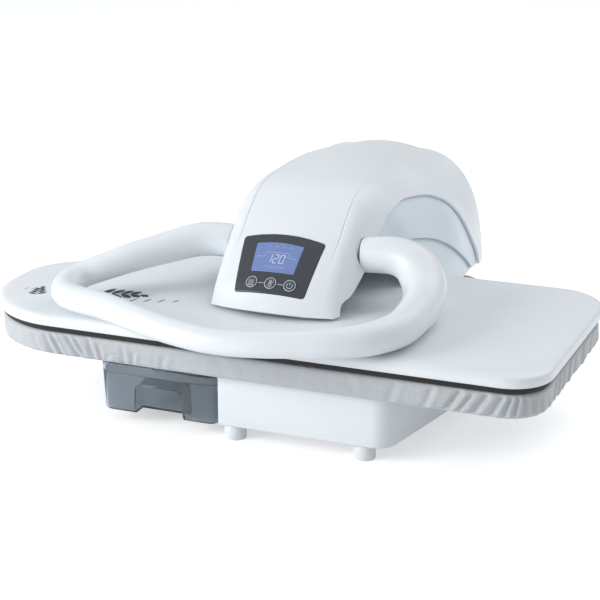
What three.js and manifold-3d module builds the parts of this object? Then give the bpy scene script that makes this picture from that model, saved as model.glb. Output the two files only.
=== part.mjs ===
// Steam ironing press: a padded board on a base box, and a heated plate that
// a sprung lever head lowers onto it. A loop handle closes and locks the head.
// Millimetres, +Z up, +X along the board to the right, +Y to the back.
// The origin is on the floor, in the middle of the whole press.
// Inside this file Y is measured from the front edge of the plate's casing.

import * as THREE from 'three';
import { mergeVertices } from 'three/addons/utils/BufferGeometryUtils.js';
import Module from 'manifold-3d';

const wasm = await Module();
wasm.setup();

// Clearances
const touchGap = 0.3;
const cutOverrun = 5;
const slideGap = 0.6;

// Plate casing outline, seen from above
const casingLength = 640;
const casingDepth = 291;
const noseRadius = 105;
const noseShoulderY = 164;
const noseShoulderRadius = 70;
const taperStart = 191;
const taperRadius = 400;
const rearCornerRadius = 55;
const frontCornerRadius = 45;
const sideSlant = 14;

// Heights of the stack, from the floor up
const footHeight = 16.6;
const baseHeight = 55.4;
const boardThickness = 4;
const foamThickness = 19.6;
const coverThickness = 1.6;
const solePlateThickness = 4.6;
const carrierThickness = 1.3;
const casingHeight = 12.1;

// Base box
const baseFrontY = 15.6;
const baseTankSideX = -30.6;
const baseFrontRightX = 152;
const baseSideX = 184;
const baseFlareY = 150;
const baseRearY = 432;
const baseRearHalfWidth = 128;
const baseRearTaperY = 310;
const baseCornerRadius = 22;
const baseWall = 2.8;
const tankBayDepth = 162;
const bayCornerRadius = 3;
const pumpLift = 2;
const basePlateThickness = 1.6;
const footDiameter = 23;
const footPadThickness = 2.2;
const footPadDiameter = 17;
const footInset = 14;

// Board pad and cover
const padInset = 3;
const coverHemDepth = 4;
const gatherDepth = 1.8;
const gatherPitch = 55;

// Heated plate
const casingWall = 2.5;
const solePlateInset = 4.5;
const carrierInset = 1.5;
const carrierWidth = 11;
const steamHoleDiameter = 4;
const elementDiameter = 6.6;
const elementLoopLength = 430;
const elementLoopDepth = 150;
const steamChamberLength = 250;
const steamChamberDepth = 90;
const steamChamberHeight = 6.4;
const plateMiddleY = 145;
const insulationThickness = 1.2;
const insulationInset = 26;
const thermostatDiameter = 22;
const thermostatHeight = 8.6;
const fuseDiameter = 7;
const fuseLength = 34;
const steamInletDiameter = 12;

// Lever head and its hinge
const headFrontY = 73.4;
const headRearY = 490;
const headBottomZ = 120;
const headTopZ = 238.5;
const headCreaseX = 55;
const headSideX = 138;
const headWall = 3;
const headBow = 9;
const headBowFade = 120;
const crownDrop = 8;
const hingeY = 424;
const hingeZ = 100;
const axleDiameter = 12;
const axleLength = 170;
const bracketThickness = 5;
const bracketX = 52;
const armCheekX = 42;
const armThickness = 3;
const armWebY = 205;
const armWebDepth = 80;
const hoodWall = 2.5;
const hoodOverlap = 9;
const hoodRearY = 428;
const saddleFrontY = 222;
const saddleRearY = 412;
const saddleFlange = 9;

// Plate pivot under the lever head
const pivotZ = 140;
const pivotPinDiameter = 10;
const pivotLugX = 33;
const pivotLugThickness = 4;
const pivotLugLength = 44;
const pivotFootThickness = 3;

// Handle, its shaft, and the link that pulls on it
const hubY = 165;
const hubRiseShare = 0.405;
const handleReach = 216;
const handleFrontY = -41;
const handleFrontZ = 131;
const gripRadius = 20;
const knuckleX = 84.5;
const hubDiscDiameter = 37;
const hubDiscThickness = 15;
const shaftDiameter = 18;
const crankLength = 22;
const crankLeanDegrees = 20;
const crankThickness = 5;
const crankPinDiameter = 7;
const linkWidth = 10;
const linkThickness = 8;
const linkEyeDiameter = 19;
const linkAnchorY = 398.7;
const linkAnchorZ = 88.6;
const linkOpenClearance = 2.5;
const anchorLugThickness = 3;

// Control panel on the head's sloping face
const panelX = -3;
const displayShift = -2;
const panelLowShare = 0.165;
const panelHighShare = 0.553;
const panelArch = 10;
const panelTopHalfWidth = 46;
const panelBottomHalfWidth = 39;
const panelThickness = 2.6;
const panelCornerRadius = 4;
const displayWidth = 53;
const displayTopGrow = 5;
const displayHeightShare = 0.5;
const displayLowShare = 0.395;
const displayArch = 3;
const displayThickness = 1.6;
const keyDiameter = 14;
const keyPitch = 21.4;
const keyHeightShare = 0.173;
const keyProud = 0.8;
const keyTravel = 0.8;
const keyStem = 5.4;
const boardStandoff = 5.6;
const circuitThickness = 1.6;

// Water tank, its rails and the works in the base
const tankLeftX = -166;
const tankFloorZ = 13.6;
const tankRearGap = 6;
const tankBodyHeight = 43.6;
const tankLidHeight = 10.6;
const tankWall = 2;
const tankCornerRadius = 12;
const tankTaper = 3;
const gripWidth = 54;
const gripHeight = 28;
const gripDepth = 19;
const gripLift = 4;
const fillerDiameter = 40;
const fillerHeight = 2.4;
const fillerBack = 25;
const railLength = 140;
const railSpacing = 84;
const runnerStem = 4;
const runnerHead = 10;
const runnerPlate = 1.4;
const valveDiameter = 12;
const valveLength = 7;
const pumpLength = 62;
const pumpDiameter = 36;
const pumpX = 40;
const pumpY = 240;
const hoseDiameter = 7;
const powerBoardLength = 110;
const powerBoardDepth = 74;
const powerBoardX = 95;
const powerBoardY = 110;
const standoffHeight = 8;
const standoffDiameter = 6;
const coverPlateTop = 18.2;
const glandDiameter = 16;
const glandLength = 12;
const glandX = -70;
const springWire = 3;
const springTurns = 5;
const springPitch = 4.6;

// Materials
const finishes = {
  gloss_white_plastic: ['#e9edf1', 0.25, 0],
  hood_grey_plastic: ['#d3dde6', 0.35, 0],
  panel_charcoal: ['#3a3e43', 0.3, 0],
  key_grey: ['#4a4e54', 0.45, 0],
  display_blue: ['#5f86c8', 0.2, 0],
  nonstick_black: ['#17181a', 0.45, 0.2],
  cover_cloth: ['#c3c7cb', 0.8, 0],
  foam_grey: ['#8d9196', 0.95, 0],
  tank_smoke: ['#6d7c92', 0.1, 0],
  steel_plated: ['#a9adb1', 0.4, 1],
  brass_plain: ['#b99a55', 0.35, 1],
  rubber_black: ['#202124', 0.85, 0],
  circuit_green: ['#2f5a3c', 0.6, 0],
  insulation_buff: ['#b9ac8c', 0.95, 0],
  inner_white_plastic: ['#d9dcdf', 0.5, 0],
};

function material(finish) {
  const [color, roughness, metalness] = finishes[finish];
  return new THREE.MeshStandardMaterial({ color, roughness, metalness, name: finish });
}

// A closed geometry turned into a solid that can be cut and joined
function solidOf(geometry) {
  const bare = geometry.clone();
  bare.deleteAttribute('normal');
  bare.deleteAttribute('uv');
  const merged = mergeVertices(bare.index ? bare.toNonIndexed() : bare, 1e-4);
  return new wasm.Manifold(new wasm.Mesh({
    numProp: 3,
    vertProperties: new Float32Array(merged.attributes.position.array),
    triVerts: new Uint32Array(merged.index.array),
  }));
}

function geometryOf(solid) {
  const { vertProperties, triVerts } = solid.getMesh();
  const geometry = new THREE.BufferGeometry();
  geometry.setAttribute('position', new THREE.BufferAttribute(vertProperties, 3));
  geometry.setIndex(new THREE.BufferAttribute(triVerts, 1));
  geometry.computeVertexNormals();
  return geometry;
}

const cut = (body, ...tools) => tools.reduce((left, tool) => left.subtract(tool), body);
const join = (body, ...others) => others.reduce((sum, other) => sum.add(other), body);

// A named piece made from a solid or a plain geometry
function piece(name, finish, shape) {
  const geometry = shape.isBufferGeometry ? shape : geometryOf(shape);
  const mesh = new THREE.Mesh(geometry, material(finish));
  mesh.name = name;
  return mesh;
}

// Rounded outline: corners are [x, y, radius], counterclockwise, and inset moves it inwards
const arcStepDegrees = 15;
const smallArcStepDegrees = 30;
const smallRadius = 15;

function outline(corners, inset = 0) {
  const count = corners.length;
  const at = (i) => new THREE.Vector2(corners[(i + count) % count][0], corners[(i + count) % count][1]);
  const along = (i) => at(i + 1).sub(at(i)).normalize();
  const points = [];
  for (let i = 0; i < count; i++) {
    const inward = along(i - 1);
    const outward = along(i);
    const leftIn = new THREE.Vector2(-inward.y, inward.x);
    const leftOut = new THREE.Vector2(-outward.y, outward.x);
    const turn = Math.atan2(inward.cross(outward), inward.dot(outward));
    const side = Math.sign(turn);
    const corner = leftIn.clone().add(leftOut).multiplyScalar(inset / (1 + leftIn.dot(leftOut))).add(at(i));
    const radius = Math.max(corners[i][2] - side * inset, 0);
    const start = corner.clone().addScaledVector(inward, -radius * Math.tan(Math.abs(turn) / 2));
    const centre = start.clone().addScaledVector(leftIn, radius * side);
    const stepAngle = THREE.MathUtils.degToRad(corners[i][2] < smallRadius ? smallArcStepDegrees : arcStepDegrees);
    const steps = corners[i][2] > 0 ? Math.max(2, Math.round(Math.abs(turn) / stepAngle)) : 0;
    for (let k = 0; k <= steps; k++) {
      points.push(start.clone().rotateAround(centre, steps ? turn * k / steps : 0));
    }
  }
  return points;
}

// Upright solid of an outline between two heights
function upright(points, bottom, top) {
  const geometry = new THREE.ExtrudeGeometry(new THREE.Shape(points), { depth: top - bottom, bevelEnabled: false });
  return solidOf(geometry.translate(0, 0, bottom));
}

// Solid of a side profile, given as [y, z] points, between two places along X
function sideways(profile, left, right) {
  const shape = new THREE.Shape(profile.map(([y, z]) => new THREE.Vector2(y, z)));
  const geometry = new THREE.ExtrudeGeometry(shape, { depth: right - left, bevelEnabled: false });
  const turned = new THREE.Matrix4().makeBasis(
    new THREE.Vector3(0, 1, 0), new THREE.Vector3(0, 0, 1), new THREE.Vector3(1, 0, 0));
  return solidOf(geometry.applyMatrix4(turned).translate(left, 0, 0));
}

function block(x0, x1, y0, y1, z0, z1) {
  const geometry = new THREE.BoxGeometry(x1 - x0, y1 - y0, z1 - z0);
  return solidOf(geometry.translate((x0 + x1) / 2, (y0 + y1) / 2, (z0 + z1) / 2));
}

// Round bars along each direction; the first three values are the middle of the lower end
function barZ(x, y, z, diameter, length, sides = 20) {
  const geometry = new THREE.CylinderGeometry(diameter / 2, diameter / 2, length, sides).rotateX(Math.PI / 2);
  return solidOf(geometry.translate(x, y, z + length / 2));
}

function barX(x, y, z, diameter, length, sides = 20) {
  const geometry = new THREE.CylinderGeometry(diameter / 2, diameter / 2, length, sides).rotateZ(Math.PI / 2);
  return solidOf(geometry.translate(x + length / 2, y, z));
}

function barY(x, y, z, diameter, length, sides = 20) {
  const geometry = new THREE.CylinderGeometry(diameter / 2, diameter / 2, length, sides);
  return solidOf(geometry.translate(x, y + length / 2, z));
}

// Closed body through rings of equal point counts, with flat ends
function loft(rings, capRing = capOf) {
  const count = rings[0].length;
  const positions = rings.flat().flatMap((p) => [p.x, p.y, p.z]);
  const faces = [];
  for (let r = 0; r + 1 < rings.length; r++) {
    for (let k = 0; k < count; k++) {
      const next = (k + 1) % count;
      const low = r * count;
      const high = low + count;
      faces.push(low + k, low + next, high + next, low + k, high + next, high + k);
    }
  }
  for (const [r, reversed] of [[0, true], [rings.length - 1, false]]) {
    for (const [a, b, c] of capRing(rings[r])) {
      const base = r * count;
      faces.push(base + a, base + (reversed ? c : b), base + (reversed ? b : c));
    }
  }
  const geometry = new THREE.BufferGeometry();
  geometry.setAttribute('position', new THREE.Float32BufferAttribute(positions, 3));
  geometry.setIndex(signedVolume(positions, faces) < 0 ? faces.reverse() : faces);
  return geometry;
}

// Triangles over one ring, in the direction that follows the ring's own order
function capOf(ring) {
  const normal = new THREE.Vector3();
  ring.forEach((p, k) => normal.add(p.clone().cross(ring[(k + 1) % ring.length])));
  const away = normal.toArray().map(Math.abs);
  const drop = away.indexOf(Math.max(...away));
  const keep = [[1, 2], [2, 0], [0, 1]][drop];
  const flat = ring.map((p) => new THREE.Vector2(p.getComponent(keep[0]), p.getComponent(keep[1])));
  const clockwise = THREE.ShapeUtils.isClockWise(flat);
  const triangles = THREE.ShapeUtils.triangulateShape(clockwise ? [...flat].reverse() : flat, []);
  const last = ring.length - 1;
  return clockwise ? triangles.map(([a, b, c]) => [last - c, last - b, last - a]) : triangles;
}

// Triangles over a ring whose two halves mirror each other, rung by rung
function ladderCap(ring) {
  const last = ring.length - 1;
  const faces = [];
  for (let k = 0; k < last - k; k++) {
    faces.push([k, k + 1, last - k]);
    if (k + 1 < last - k - 1) faces.push([k + 1, last - k - 1, last - k]);
  }
  return faces;
}

function signedVolume(positions, faces) {
  let sum = 0;
  const corner = (i) => new THREE.Vector3().fromArray(positions, 3 * i);
  for (let f = 0; f < faces.length; f += 3) {
    sum += corner(faces[f]).dot(corner(faces[f + 1]).cross(corner(faces[f + 2])));
  }
  return sum;
}

const ring = (points, z) => points.map((p) => new THREE.Vector3(p.x, p.y, z));

// Round tube of changing radius along a list of [x, y, z, radius] stations
function tube(stations, sides, stepsEach, closedCurve = false) {
  const path = new THREE.CatmullRomCurve3(stations.map(([x, y, z]) => new THREE.Vector3(x, y, z)), closedCurve, 'centripetal');
  const steps = stepsEach * (stations.length - 1);
  const frames = path.computeFrenetFrames(steps, closedCurve);
  const rings = [];
  for (let s = 0; s <= steps; s++) {
    const along = s / steps;
    const centre = path.getPoint(along);
    const place = along * (stations.length - 1);
    const low = Math.min(Math.floor(place), stations.length - 2);
    const radius = THREE.MathUtils.lerp(stations[low][3], stations[low + 1][3], place - low);
    const tangent = path.getTangent(along);
    const across = frames.normals[s].clone().addScaledVector(tangent, -frames.normals[s].dot(tangent)).normalize();
    const up = tangent.clone().cross(across);
    rings.push(Array.from({ length: sides }, (_, k) => {
      const angle = 2 * Math.PI * k / sides;
      return centre.clone().addScaledVector(across, radius * Math.cos(angle)).addScaledVector(up, radius * Math.sin(angle));
    }));
  }
  return loft(rings);
}

// Heights worked out from the stack
const baseTopZ = footHeight + baseHeight;
const boardBottomZ = baseTopZ + touchGap;
const boardTopZ = boardBottomZ + boardThickness;
const foamBottomZ = boardTopZ + touchGap;
const foamTopZ = foamBottomZ + foamThickness;
const coverTopZ = foamTopZ + touchGap + coverThickness;
const coverBottomZ = boardBottomZ + touchGap;
const solePlateZ = coverTopZ + touchGap;
const solePlateTopZ = solePlateZ + solePlateThickness;
const carrierZ = solePlateTopZ + touchGap;
const casingZ = carrierZ + carrierThickness + touchGap;
const casingTopZ = casingZ + casingHeight;
const casingCeilingZ = casingTopZ - casingWall;
const headRise = headTopZ - headBottomZ;
const hubZ = headBottomZ + headRise * hubRiseShare;

// Outline shared by the board, the pad and the plate
const half = casingLength / 2;
const casingCorners = [
  [-half, 0, noseRadius],
  [half - sideSlant, 0, frontCornerRadius],
  [half, casingDepth, rearCornerRadius],
  [-half + taperStart, casingDepth, taperRadius],
  [-half, noseShoulderY, noseShoulderRadius],
];
const casingOutline = (inset) => outline(casingCorners, inset);

// Board and pad
const coverSideInset = padInset + coverHemDepth;
const foamInset = coverSideInset + touchGap;

function boardPanel() {
  return piece('board_panel', 'steel_plated', upright(casingOutline(foamInset), boardBottomZ, boardTopZ));
}

function padFoam() {
  return piece('pad_foam', 'foam_grey', upright(casingOutline(foamInset), foamBottomZ, foamTopZ));
}

// The casing outline with its long straights split into pieces, the same pieces for every inset
const coverPiece = 21;
const guide = casingOutline(0);
const guidePieces = guide.map((p, i) => Math.max(1, Math.round(p.distanceTo(guide[(i + 1) % guide.length]) / coverPiece)));

function splitOutline(inset) {
  const points = casingOutline(inset);
  return points.flatMap((p, i) => Array.from({ length: guidePieces[i] }, (_, k) =>
    p.clone().lerp(points[(i + 1) % points.length], k / guidePieces[i])));
}

// Cloth cover: a flat top and a skirt whose edge a drawcord gathers under the board
function padCover() {
  const levelShares = [
    // [inset and height as shares of the hem, share of the gathers, lean of a fold]
    [3.3, 1, 0, 0],
    [0.9, 0.985, 0, 0],
    [0.3, 0.9, 0.15, 0],
    [0, 0.62, 0.6, 0.25],
    [0, 0.34, 0.9, 0.5],
    [0.05, 0.1, 1, 0.8],
    [0.25, 0, 0.7, 0.9],
  ];
  const height = coverTopZ - coverBottomZ;
  let walked = 0;
  const split = splitOutline(0);
  const place = split.map((p, k) => (walked += k ? p.distanceTo(split[k - 1]) : 0));
  const rings = levelShares.map(([insetShare, heightShare, gatherShare, lean]) => {
    const inset = padInset + coverHemDepth * insetShare;
    const outer = splitOutline(inset);
    const inner = splitOutline(inset + gatherDepth * gatherShare);
    return outer.map((p, k) => {
      const phase = 2 * Math.PI * (place[k] / gatherPitch + lean);
      const fold = (1 + Math.sin(phase)) / 2;
      const moved = p.clone().lerp(inner[k], fold);
      return new THREE.Vector3(moved.x, moved.y, coverBottomZ + height * heightShare);
    });
  });
  const room = splitOutline(coverSideInset);
  rings.push(ring(room, coverBottomZ), ring(room, coverTopZ - coverThickness));
  return piece('pad_cover', 'cover_cloth', loft(rings));
}

// Base box with the tank's bay left open at the front left
const bayRearY = baseFrontY + tankBayDepth;
const baseCorners = [
  [baseTankSideX, baseFrontY, bayCornerRadius],
  [baseFrontRightX, baseFrontY, baseCornerRadius],
  [baseSideX, baseFlareY, noseRadius],
  [baseSideX, baseRearTaperY, noseRadius],
  [baseRearHalfWidth, baseRearY, baseCornerRadius],
  [-baseRearHalfWidth, baseRearY, baseCornerRadius],
  [-baseSideX, baseRearTaperY, noseRadius],
  [-baseSideX, bayRearY, tankCornerRadius],
  [baseTankSideX, bayRearY, bayCornerRadius],
];
const baseFloorZ = coverPlateTop - basePlateThickness;
const valveX = (tankLeftX + baseTankSideX) / 2;
const valveZ = tankFloorZ + tankWall + valveDiameter;
const feet = {
  front_left: [baseTankSideX + footInset, baseFrontY + footInset],
  front_right: [baseFrontRightX - 2 * footInset, baseFrontY + footInset],
  rear_left: [-baseRearHalfWidth, baseRearY - 3 * footInset],
  rear_right: [baseRearHalfWidth, baseRearY - 3 * footInset],
};

function baseShell() {
  const outer = upright(outline(baseCorners), footHeight, baseTopZ);
  const room = upright(outline(baseCorners, baseWall), footHeight - cutOverrun, baseTopZ - baseWall);
  const valveHole = barY(valveX, bayRearY - cutOverrun, valveZ, valveDiameter + 2 * slideGap, 2 * cutOverrun + baseWall);
  const glandHole = barY(glandX, baseRearY - baseWall - cutOverrun, coverPlateTop + glandDiameter, glandDiameter,
    2 * cutOverrun + baseWall);
  return piece('base_shell', 'gloss_white_plastic', cut(outer, room, valveHole, glandHole));
}

function basePlate() {
  const plate = upright(outline(baseCorners, baseWall + touchGap), baseFloorZ, coverPlateTop);
  return piece('base_plate', 'steel_plated', plate);
}

function foot(side) {
  const [x, y] = feet[side];
  const post = barZ(x, y, 0, footDiameter, baseFloorZ - touchGap, 24);
  const recess = barZ(x, y, -cutOverrun, footPadDiameter + 2 * touchGap, cutOverrun + footPadThickness, 24);
  return piece(`foot_${side}`, 'gloss_white_plastic', cut(post, recess));
}

function footPad(side) {
  const [x, y] = feet[side];
  return piece(`foot_pad_${side}`, 'rubber_black', barZ(x, y, 0, footPadDiameter, footPadThickness - touchGap, 16));
}

function waterPump() {
  const z = coverPlateTop + touchGap;
  const body = barX(pumpX - pumpLength / 2, pumpY, z + pumpDiameter / 2 + pumpLift, pumpDiameter, pumpLength);
  const saddle = block(pumpX - pumpLength / 4, pumpX + pumpLength / 4, pumpY - pumpDiameter / 2, pumpY + pumpDiameter / 2,
    z, z + pumpDiameter / 3);
  const inlet = barX(pumpX - pumpLength / 2 - 2 * hoseDiameter, pumpY, z + pumpDiameter / 2 + pumpLift,
    hoseDiameter, 3 * hoseDiameter, 12);
  return piece('water_pump', 'inner_white_plastic', join(body, saddle, inlet));
}

function feedHose() {
  const pumpZ = coverPlateTop + touchGap + pumpDiameter / 2 + pumpLift;
  const end = pumpX - pumpLength / 2 - 2 * hoseDiameter - touchGap;
  const start = bayRearY + baseWall + valveLength + touchGap;
  const radius = hoseDiameter / 2;
  return piece('feed_hose', 'rubber_black', tube([
    [valveX, start, valveZ, radius],
    [valveX, start + 2 * hoseDiameter, valveZ, radius],
    [valveX + 3 * hoseDiameter, pumpY, (valveZ + pumpZ) / 2, radius],
    [end - 3 * hoseDiameter, pumpY, pumpZ, radius],
    [end, pumpY, pumpZ, radius],
  ], 8, 4));
}

function valveSocket() {
  const seat = barY(valveX, bayRearY + baseWall + touchGap, valveZ, 1.5 * valveDiameter, valveLength - touchGap, 20);
  const bore = barY(valveX, bayRearY - cutOverrun, valveZ, valveDiameter + 2 * slideGap, cutOverrun + valveLength, 20);
  return piece('valve_socket', 'inner_white_plastic', cut(seat, bore));
}

function powerBoard() {
  const z = coverPlateTop + touchGap;
  const top = z + standoffHeight;
  const inX = powerBoardLength / 2 - standoffDiameter;
  const inY = powerBoardDepth / 2 - standoffDiameter;
  const posts = [[-inX, -inY], [inX, -inY], [inX, inY], [-inX, inY]].map(([dx, dy]) =>
    barZ(powerBoardX + dx, powerBoardY + dy, z, standoffDiameter, standoffHeight + circuitThickness / 2, 10));
  const board = block(powerBoardX - powerBoardLength / 2, powerBoardX + powerBoardLength / 2,
    powerBoardY - powerBoardDepth / 2, powerBoardY + powerBoardDepth / 2, top, top + circuitThickness);
  const relay = block(powerBoardX - inX / 2, powerBoardX, powerBoardY, powerBoardY + inY / 2,
    top, top + 2 * standoffHeight);
  const coil = barZ(powerBoardX + inX / 2, powerBoardY - inY / 3, top, 3 * standoffDiameter, 2 * standoffHeight, 16);
  return piece('power_board', 'circuit_green', join(board, ...posts, relay, coil));
}

function cordGland() {
  const z = coverPlateTop + glandDiameter;
  const neck = barY(glandX, baseRearY - baseWall - glandLength / 2, z, glandDiameter - 2 * touchGap,
    baseWall + glandLength / 2 + touchGap, 16);
  const collar = barY(glandX, baseRearY + touchGap, z, glandDiameter + 2 * baseWall, glandLength / 2, 16);
  const bore = barY(glandX, baseRearY - glandLength, z, glandDiameter / 2, 2 * glandLength, 12);
  return piece('cord_gland', 'rubber_black', cut(join(neck, collar), bore));
}

// Rear hinge: two brackets on the base, the axle, and a spring on each end of it
function hingeBracket(side) {
  const inner = side * bracketX;
  const outer = side * (bracketX + bracketThickness);
  const foot = baseTopZ + touchGap;
  const boss = axleDiameter;
  const profile = [
    [hingeY - 4 * boss, foot],
    [baseRearY - bracketThickness, foot],
    [hingeY + boss, hingeZ - boss / 3],
    [hingeY + boss, hingeZ + boss / 3],
    [hingeY + boss / 3, hingeZ + boss],
    [hingeY - boss / 3, hingeZ + boss],
    [hingeY - boss, hingeZ + boss / 3],
  ];
  const wall = sideways(profile, Math.min(inner, outer), Math.max(inner, outer));
  const flange = block(Math.min(inner, outer + side * boss), Math.max(inner, outer + side * boss),
    hingeY - 4 * boss, baseRearY - bracketThickness, foot, foot + bracketThickness / 2);
  const hole = barX(-axleLength, hingeY, hingeZ, axleDiameter + 2 * touchGap, 2 * axleLength);
  return piece(side < 0 ? 'hinge_bracket_left' : 'hinge_bracket_right', 'steel_plated', cut(join(wall, flange), hole));
}

function hingeAxle() {
  return piece('hinge_axle', 'steel_plated', barX(-axleLength / 2, hingeY, hingeZ, axleDiameter, axleLength));
}

function liftSpring(side) {
  const radius = axleDiameter / 2 + touchGap + springWire / 2;
  const start = bracketX + bracketThickness + touchGap + springWire / 2;
  const stations = [];
  const perTurn = 6;
  for (let k = 0; k <= springTurns * perTurn; k++) {
    const angle = 2 * Math.PI * k / perTurn;
    const reach = radius / Math.cos(Math.PI / perTurn);
    stations.push([side * (start + springPitch * k / perTurn), hingeY + reach * Math.cos(angle),
      hingeZ + reach * Math.sin(angle), springWire / 2]);
  }
  return piece(side < 0 ? 'lift_spring_left' : 'lift_spring_right', 'steel_plated', tube(stations, 5, 1));
}

function linkAnchor() {
  const foot = baseTopZ + touchGap;
  const inner = linkWidth / 2 + touchGap;
  const halfLength = linkEyeDiameter / 2;
  const lug = (left) => sideways([
    [linkAnchorY - halfLength, foot],
    [linkAnchorY + halfLength, foot],
    [linkAnchorY + halfLength / 2, linkAnchorZ + halfLength / 2],
    [linkAnchorY - halfLength / 2, linkAnchorZ + halfLength / 2],
  ], left, left + anchorLugThickness);
  const pad = block(-3 * inner, 3 * inner, linkAnchorY - halfLength, linkAnchorY + halfLength, foot, foot + anchorLugThickness);
  const pin = barX(-inner - anchorLugThickness, linkAnchorY, linkAnchorZ, crankPinDiameter, 2 * (inner + anchorLugThickness), 14);
  return piece('link_anchor', 'steel_plated', join(pad, lug(inner), lug(-inner - anchorLugThickness), pin));
}

// Lever head shell: cross sections along Y, as shares of the head's own sizes
const headLength = headRearY - headFrontY;
const headProfileShares = [
  // [along, top height, crown drop, crease, side, bottom drop, fullness]
  [0, 0.03, 0.32, 0.95, 0.496, 0, 2],
  [0.016, 0.1, 0.32, 0.96, 0.513, 0, 2],
  [0.045, 0.228, 0.3, 0.98, 0.539, 0, 2.05],
  [0.083, 0.366, 0.3, 0.99, 0.561, 0, 2.1],
  [0.124, 0.497, 0.29, 1, 0.579, 0, 2.15],
  [0.165, 0.604, 0.27, 1, 0.597, 0, 2.2],
  [0.208, 0.727, 0.25, 1, 0.616, 0, 2.2],
  [0.28, 0.887, 0.25, 1, 0.668, 0, 1.9],
  [0.34, 0.949, 0.34, 1, 0.738, 0.01, 1.65],
  [0.4, 0.977, 0.49, 1, 0.87, 0.025, 1.45],
  [0.46, 0.992, 0.65, 1, 0.947, 0.042, 1.3],
  [0.544, 1, 0.78, 1, 0.983, 0.084, 1.3],
  [0.68, 0.98, 1, 1, 1, 0.169, 1.6],
  [0.81, 0.941, 1, 1, 0.986, 0.236, 1.6],
  [0.906, 0.899, 0.9, 1, 0.95, 0.27, 1.9],
  [0.96, 0.852, 0.65, 0.98, 0.9, 0.287, 2.3],
  [0.989, 0.716, 0.45, 0.96, 0.876, 0.295, 2.4],
  [1, 0.443, 0.33, 0.94, 0.867, 0.295, 2.3],
  [1, -0.154, 0.25, 0.94, 0.867, 0.295, 2.2],
];
const creaseSteps = 2;
const sideSteps = 7;
const skirtRun = 1;

const headRows = headProfileShares.map(([alongShare, topShare, crownShare, creaseShare, sideShare, dropShare, fullness]) => ({
  y: headFrontY + headLength * alongShare,
  top: headBottomZ + headRise * topShare,
  crown: crownDrop * crownShare,
  crease: headCreaseX * creaseShare,
  side: headSideX * sideShare,
  bottom: headBottomZ - headRise * dropShare,
  fullness,
}));

// Right half of one cross section as [x, z], from beside the crown down to the rim
function headHalf(row) {
  const points = [];
  const rim = row.top - row.crown;
  for (let k = 1; k <= creaseSteps; k++) {
    const share = k / creaseSteps;
    points.push(new THREE.Vector2(row.crease * share, row.top - row.crown * share * share));
  }
  for (let k = 1; k <= sideSteps; k++) {
    const angle = Math.PI / 2 * k / sideSteps;
    points.push(new THREE.Vector2(
      row.crease + (row.side - row.crease) * Math.sin(angle) ** (2 / row.fullness),
      row.bottom + (rim - row.bottom) * Math.cos(angle) ** (2 / row.fullness)));
  }
  return points;
}

// One cross section moved inwards by inset, its rim drawn straight down by skirt
function headSection(row, inset, skirt) {
  const half = headHalf(row);
  const lastPoint = half[half.length - 1];
  const moved = half.map((point, k) => {
    const before = k ? half[k - 1] : new THREE.Vector2(0, row.top);
    const after = half[k + 1] ?? lastPoint.clone().setY(lastPoint.y - 1 * (before.y - lastPoint.y));
    const along = after.clone().sub(before).normalize();
    return new THREE.Vector2(point.x + along.y * inset, point.y - along.x * inset * row.along.x);
  });
  const end = moved[moved.length - 1];
  moved.push(new THREE.Vector2(end.x, Math.min(end.y, lastPoint.y) - skirt));
  const left = moved.map((p) => new THREE.Vector2(-p.x, p.y)).reverse();
  const crown = new THREE.Vector2(0, row.top - inset * row.along.x);
  return [...left, crown, ...moved].map((p) => {
    const fade = Math.max(0, 1 - (row.y - headFrontY) / headBowFade);
    return new THREE.Vector3(p.x, row.y + inset * row.along.y + headBow * (p.x / headCreaseX) ** 2 * fade, p.y);
  });
}

// Solid inside the head's outer face, moved inwards by inset, with a straight skirt below
function headBody(inset, skirt = skirtRun) {
  const sections = headRows.map((row, i) => {
    const before = headRows[Math.max(i - 1, 0)];
    const after = headRows[Math.min(i + 1, headRows.length - 1)];
    const along = new THREE.Vector2(after.y - before.y, after.top - before.top).normalize();
    return headSection({ ...row, along }, inset, skirt);
  });
  return solidOf(loft(sections, ladderCap));
}

// Side opening of the head, as [y, z] shares of its length and rise
const openingShares = [
  [0.0566, -0.6],
  [0.06, 0.017],
  [0.0687, 0.076],
  [0.083, 0.108],
  [0.116, 0.137],
  [0.148, 0.194],
  [0.174, 0.249],
  [0.201, 0.321],
  [0.23, 0.421],
  [0.258, 0.511],
  [0.282, 0.561],
  [0.306, 0.596],
  [0.35, 0.661],
  [0.389, 0.703],
  [0.478, 0.711],
  [0.553, 0.681],
  [0.611, 0.649],
  [0.654, 0.592],
  [0.706, 0.495],
  [0.752, 0.362],
  [0.778, 0.215],
  [0.799, 0.058],
  [0.83, -0.13],
  [0.84, -0.6],
];
// Parting line between the two inner hoods, front to back
const partingShares = [
  [0.276, 0.4],
  [0.397, 0.411],
  [0.45, 0.388],
  [0.536, 0.306],
  [0.598, 0.202],
  [0.661, 0.059],
  [0.738, -0.125],
  [0.79, -0.25],
];
const headPlace = ([alongShare, riseShare]) => [headFrontY + headLength * alongShare, headBottomZ + headRise * riseShare];
const openingLine = openingShares.map(headPlace);
const partingLine = partingShares.map(headPlace);

// Where the head's front face has a given share of the rise
function frontFaceAt(riseShare) {
  const next = headProfileShares.findIndex(([, topShare]) => topShare > riseShare);
  const [low, high] = [headProfileShares[next - 1], headProfileShares[next]];
  const part = (riseShare - low[1]) / (high[1] - low[1]);
  const alongShare = THREE.MathUtils.lerp(low[0], high[0], part);
  return new THREE.Vector2(headFrontY + headLength * alongShare, headBottomZ + headRise * riseShare);
}

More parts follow.
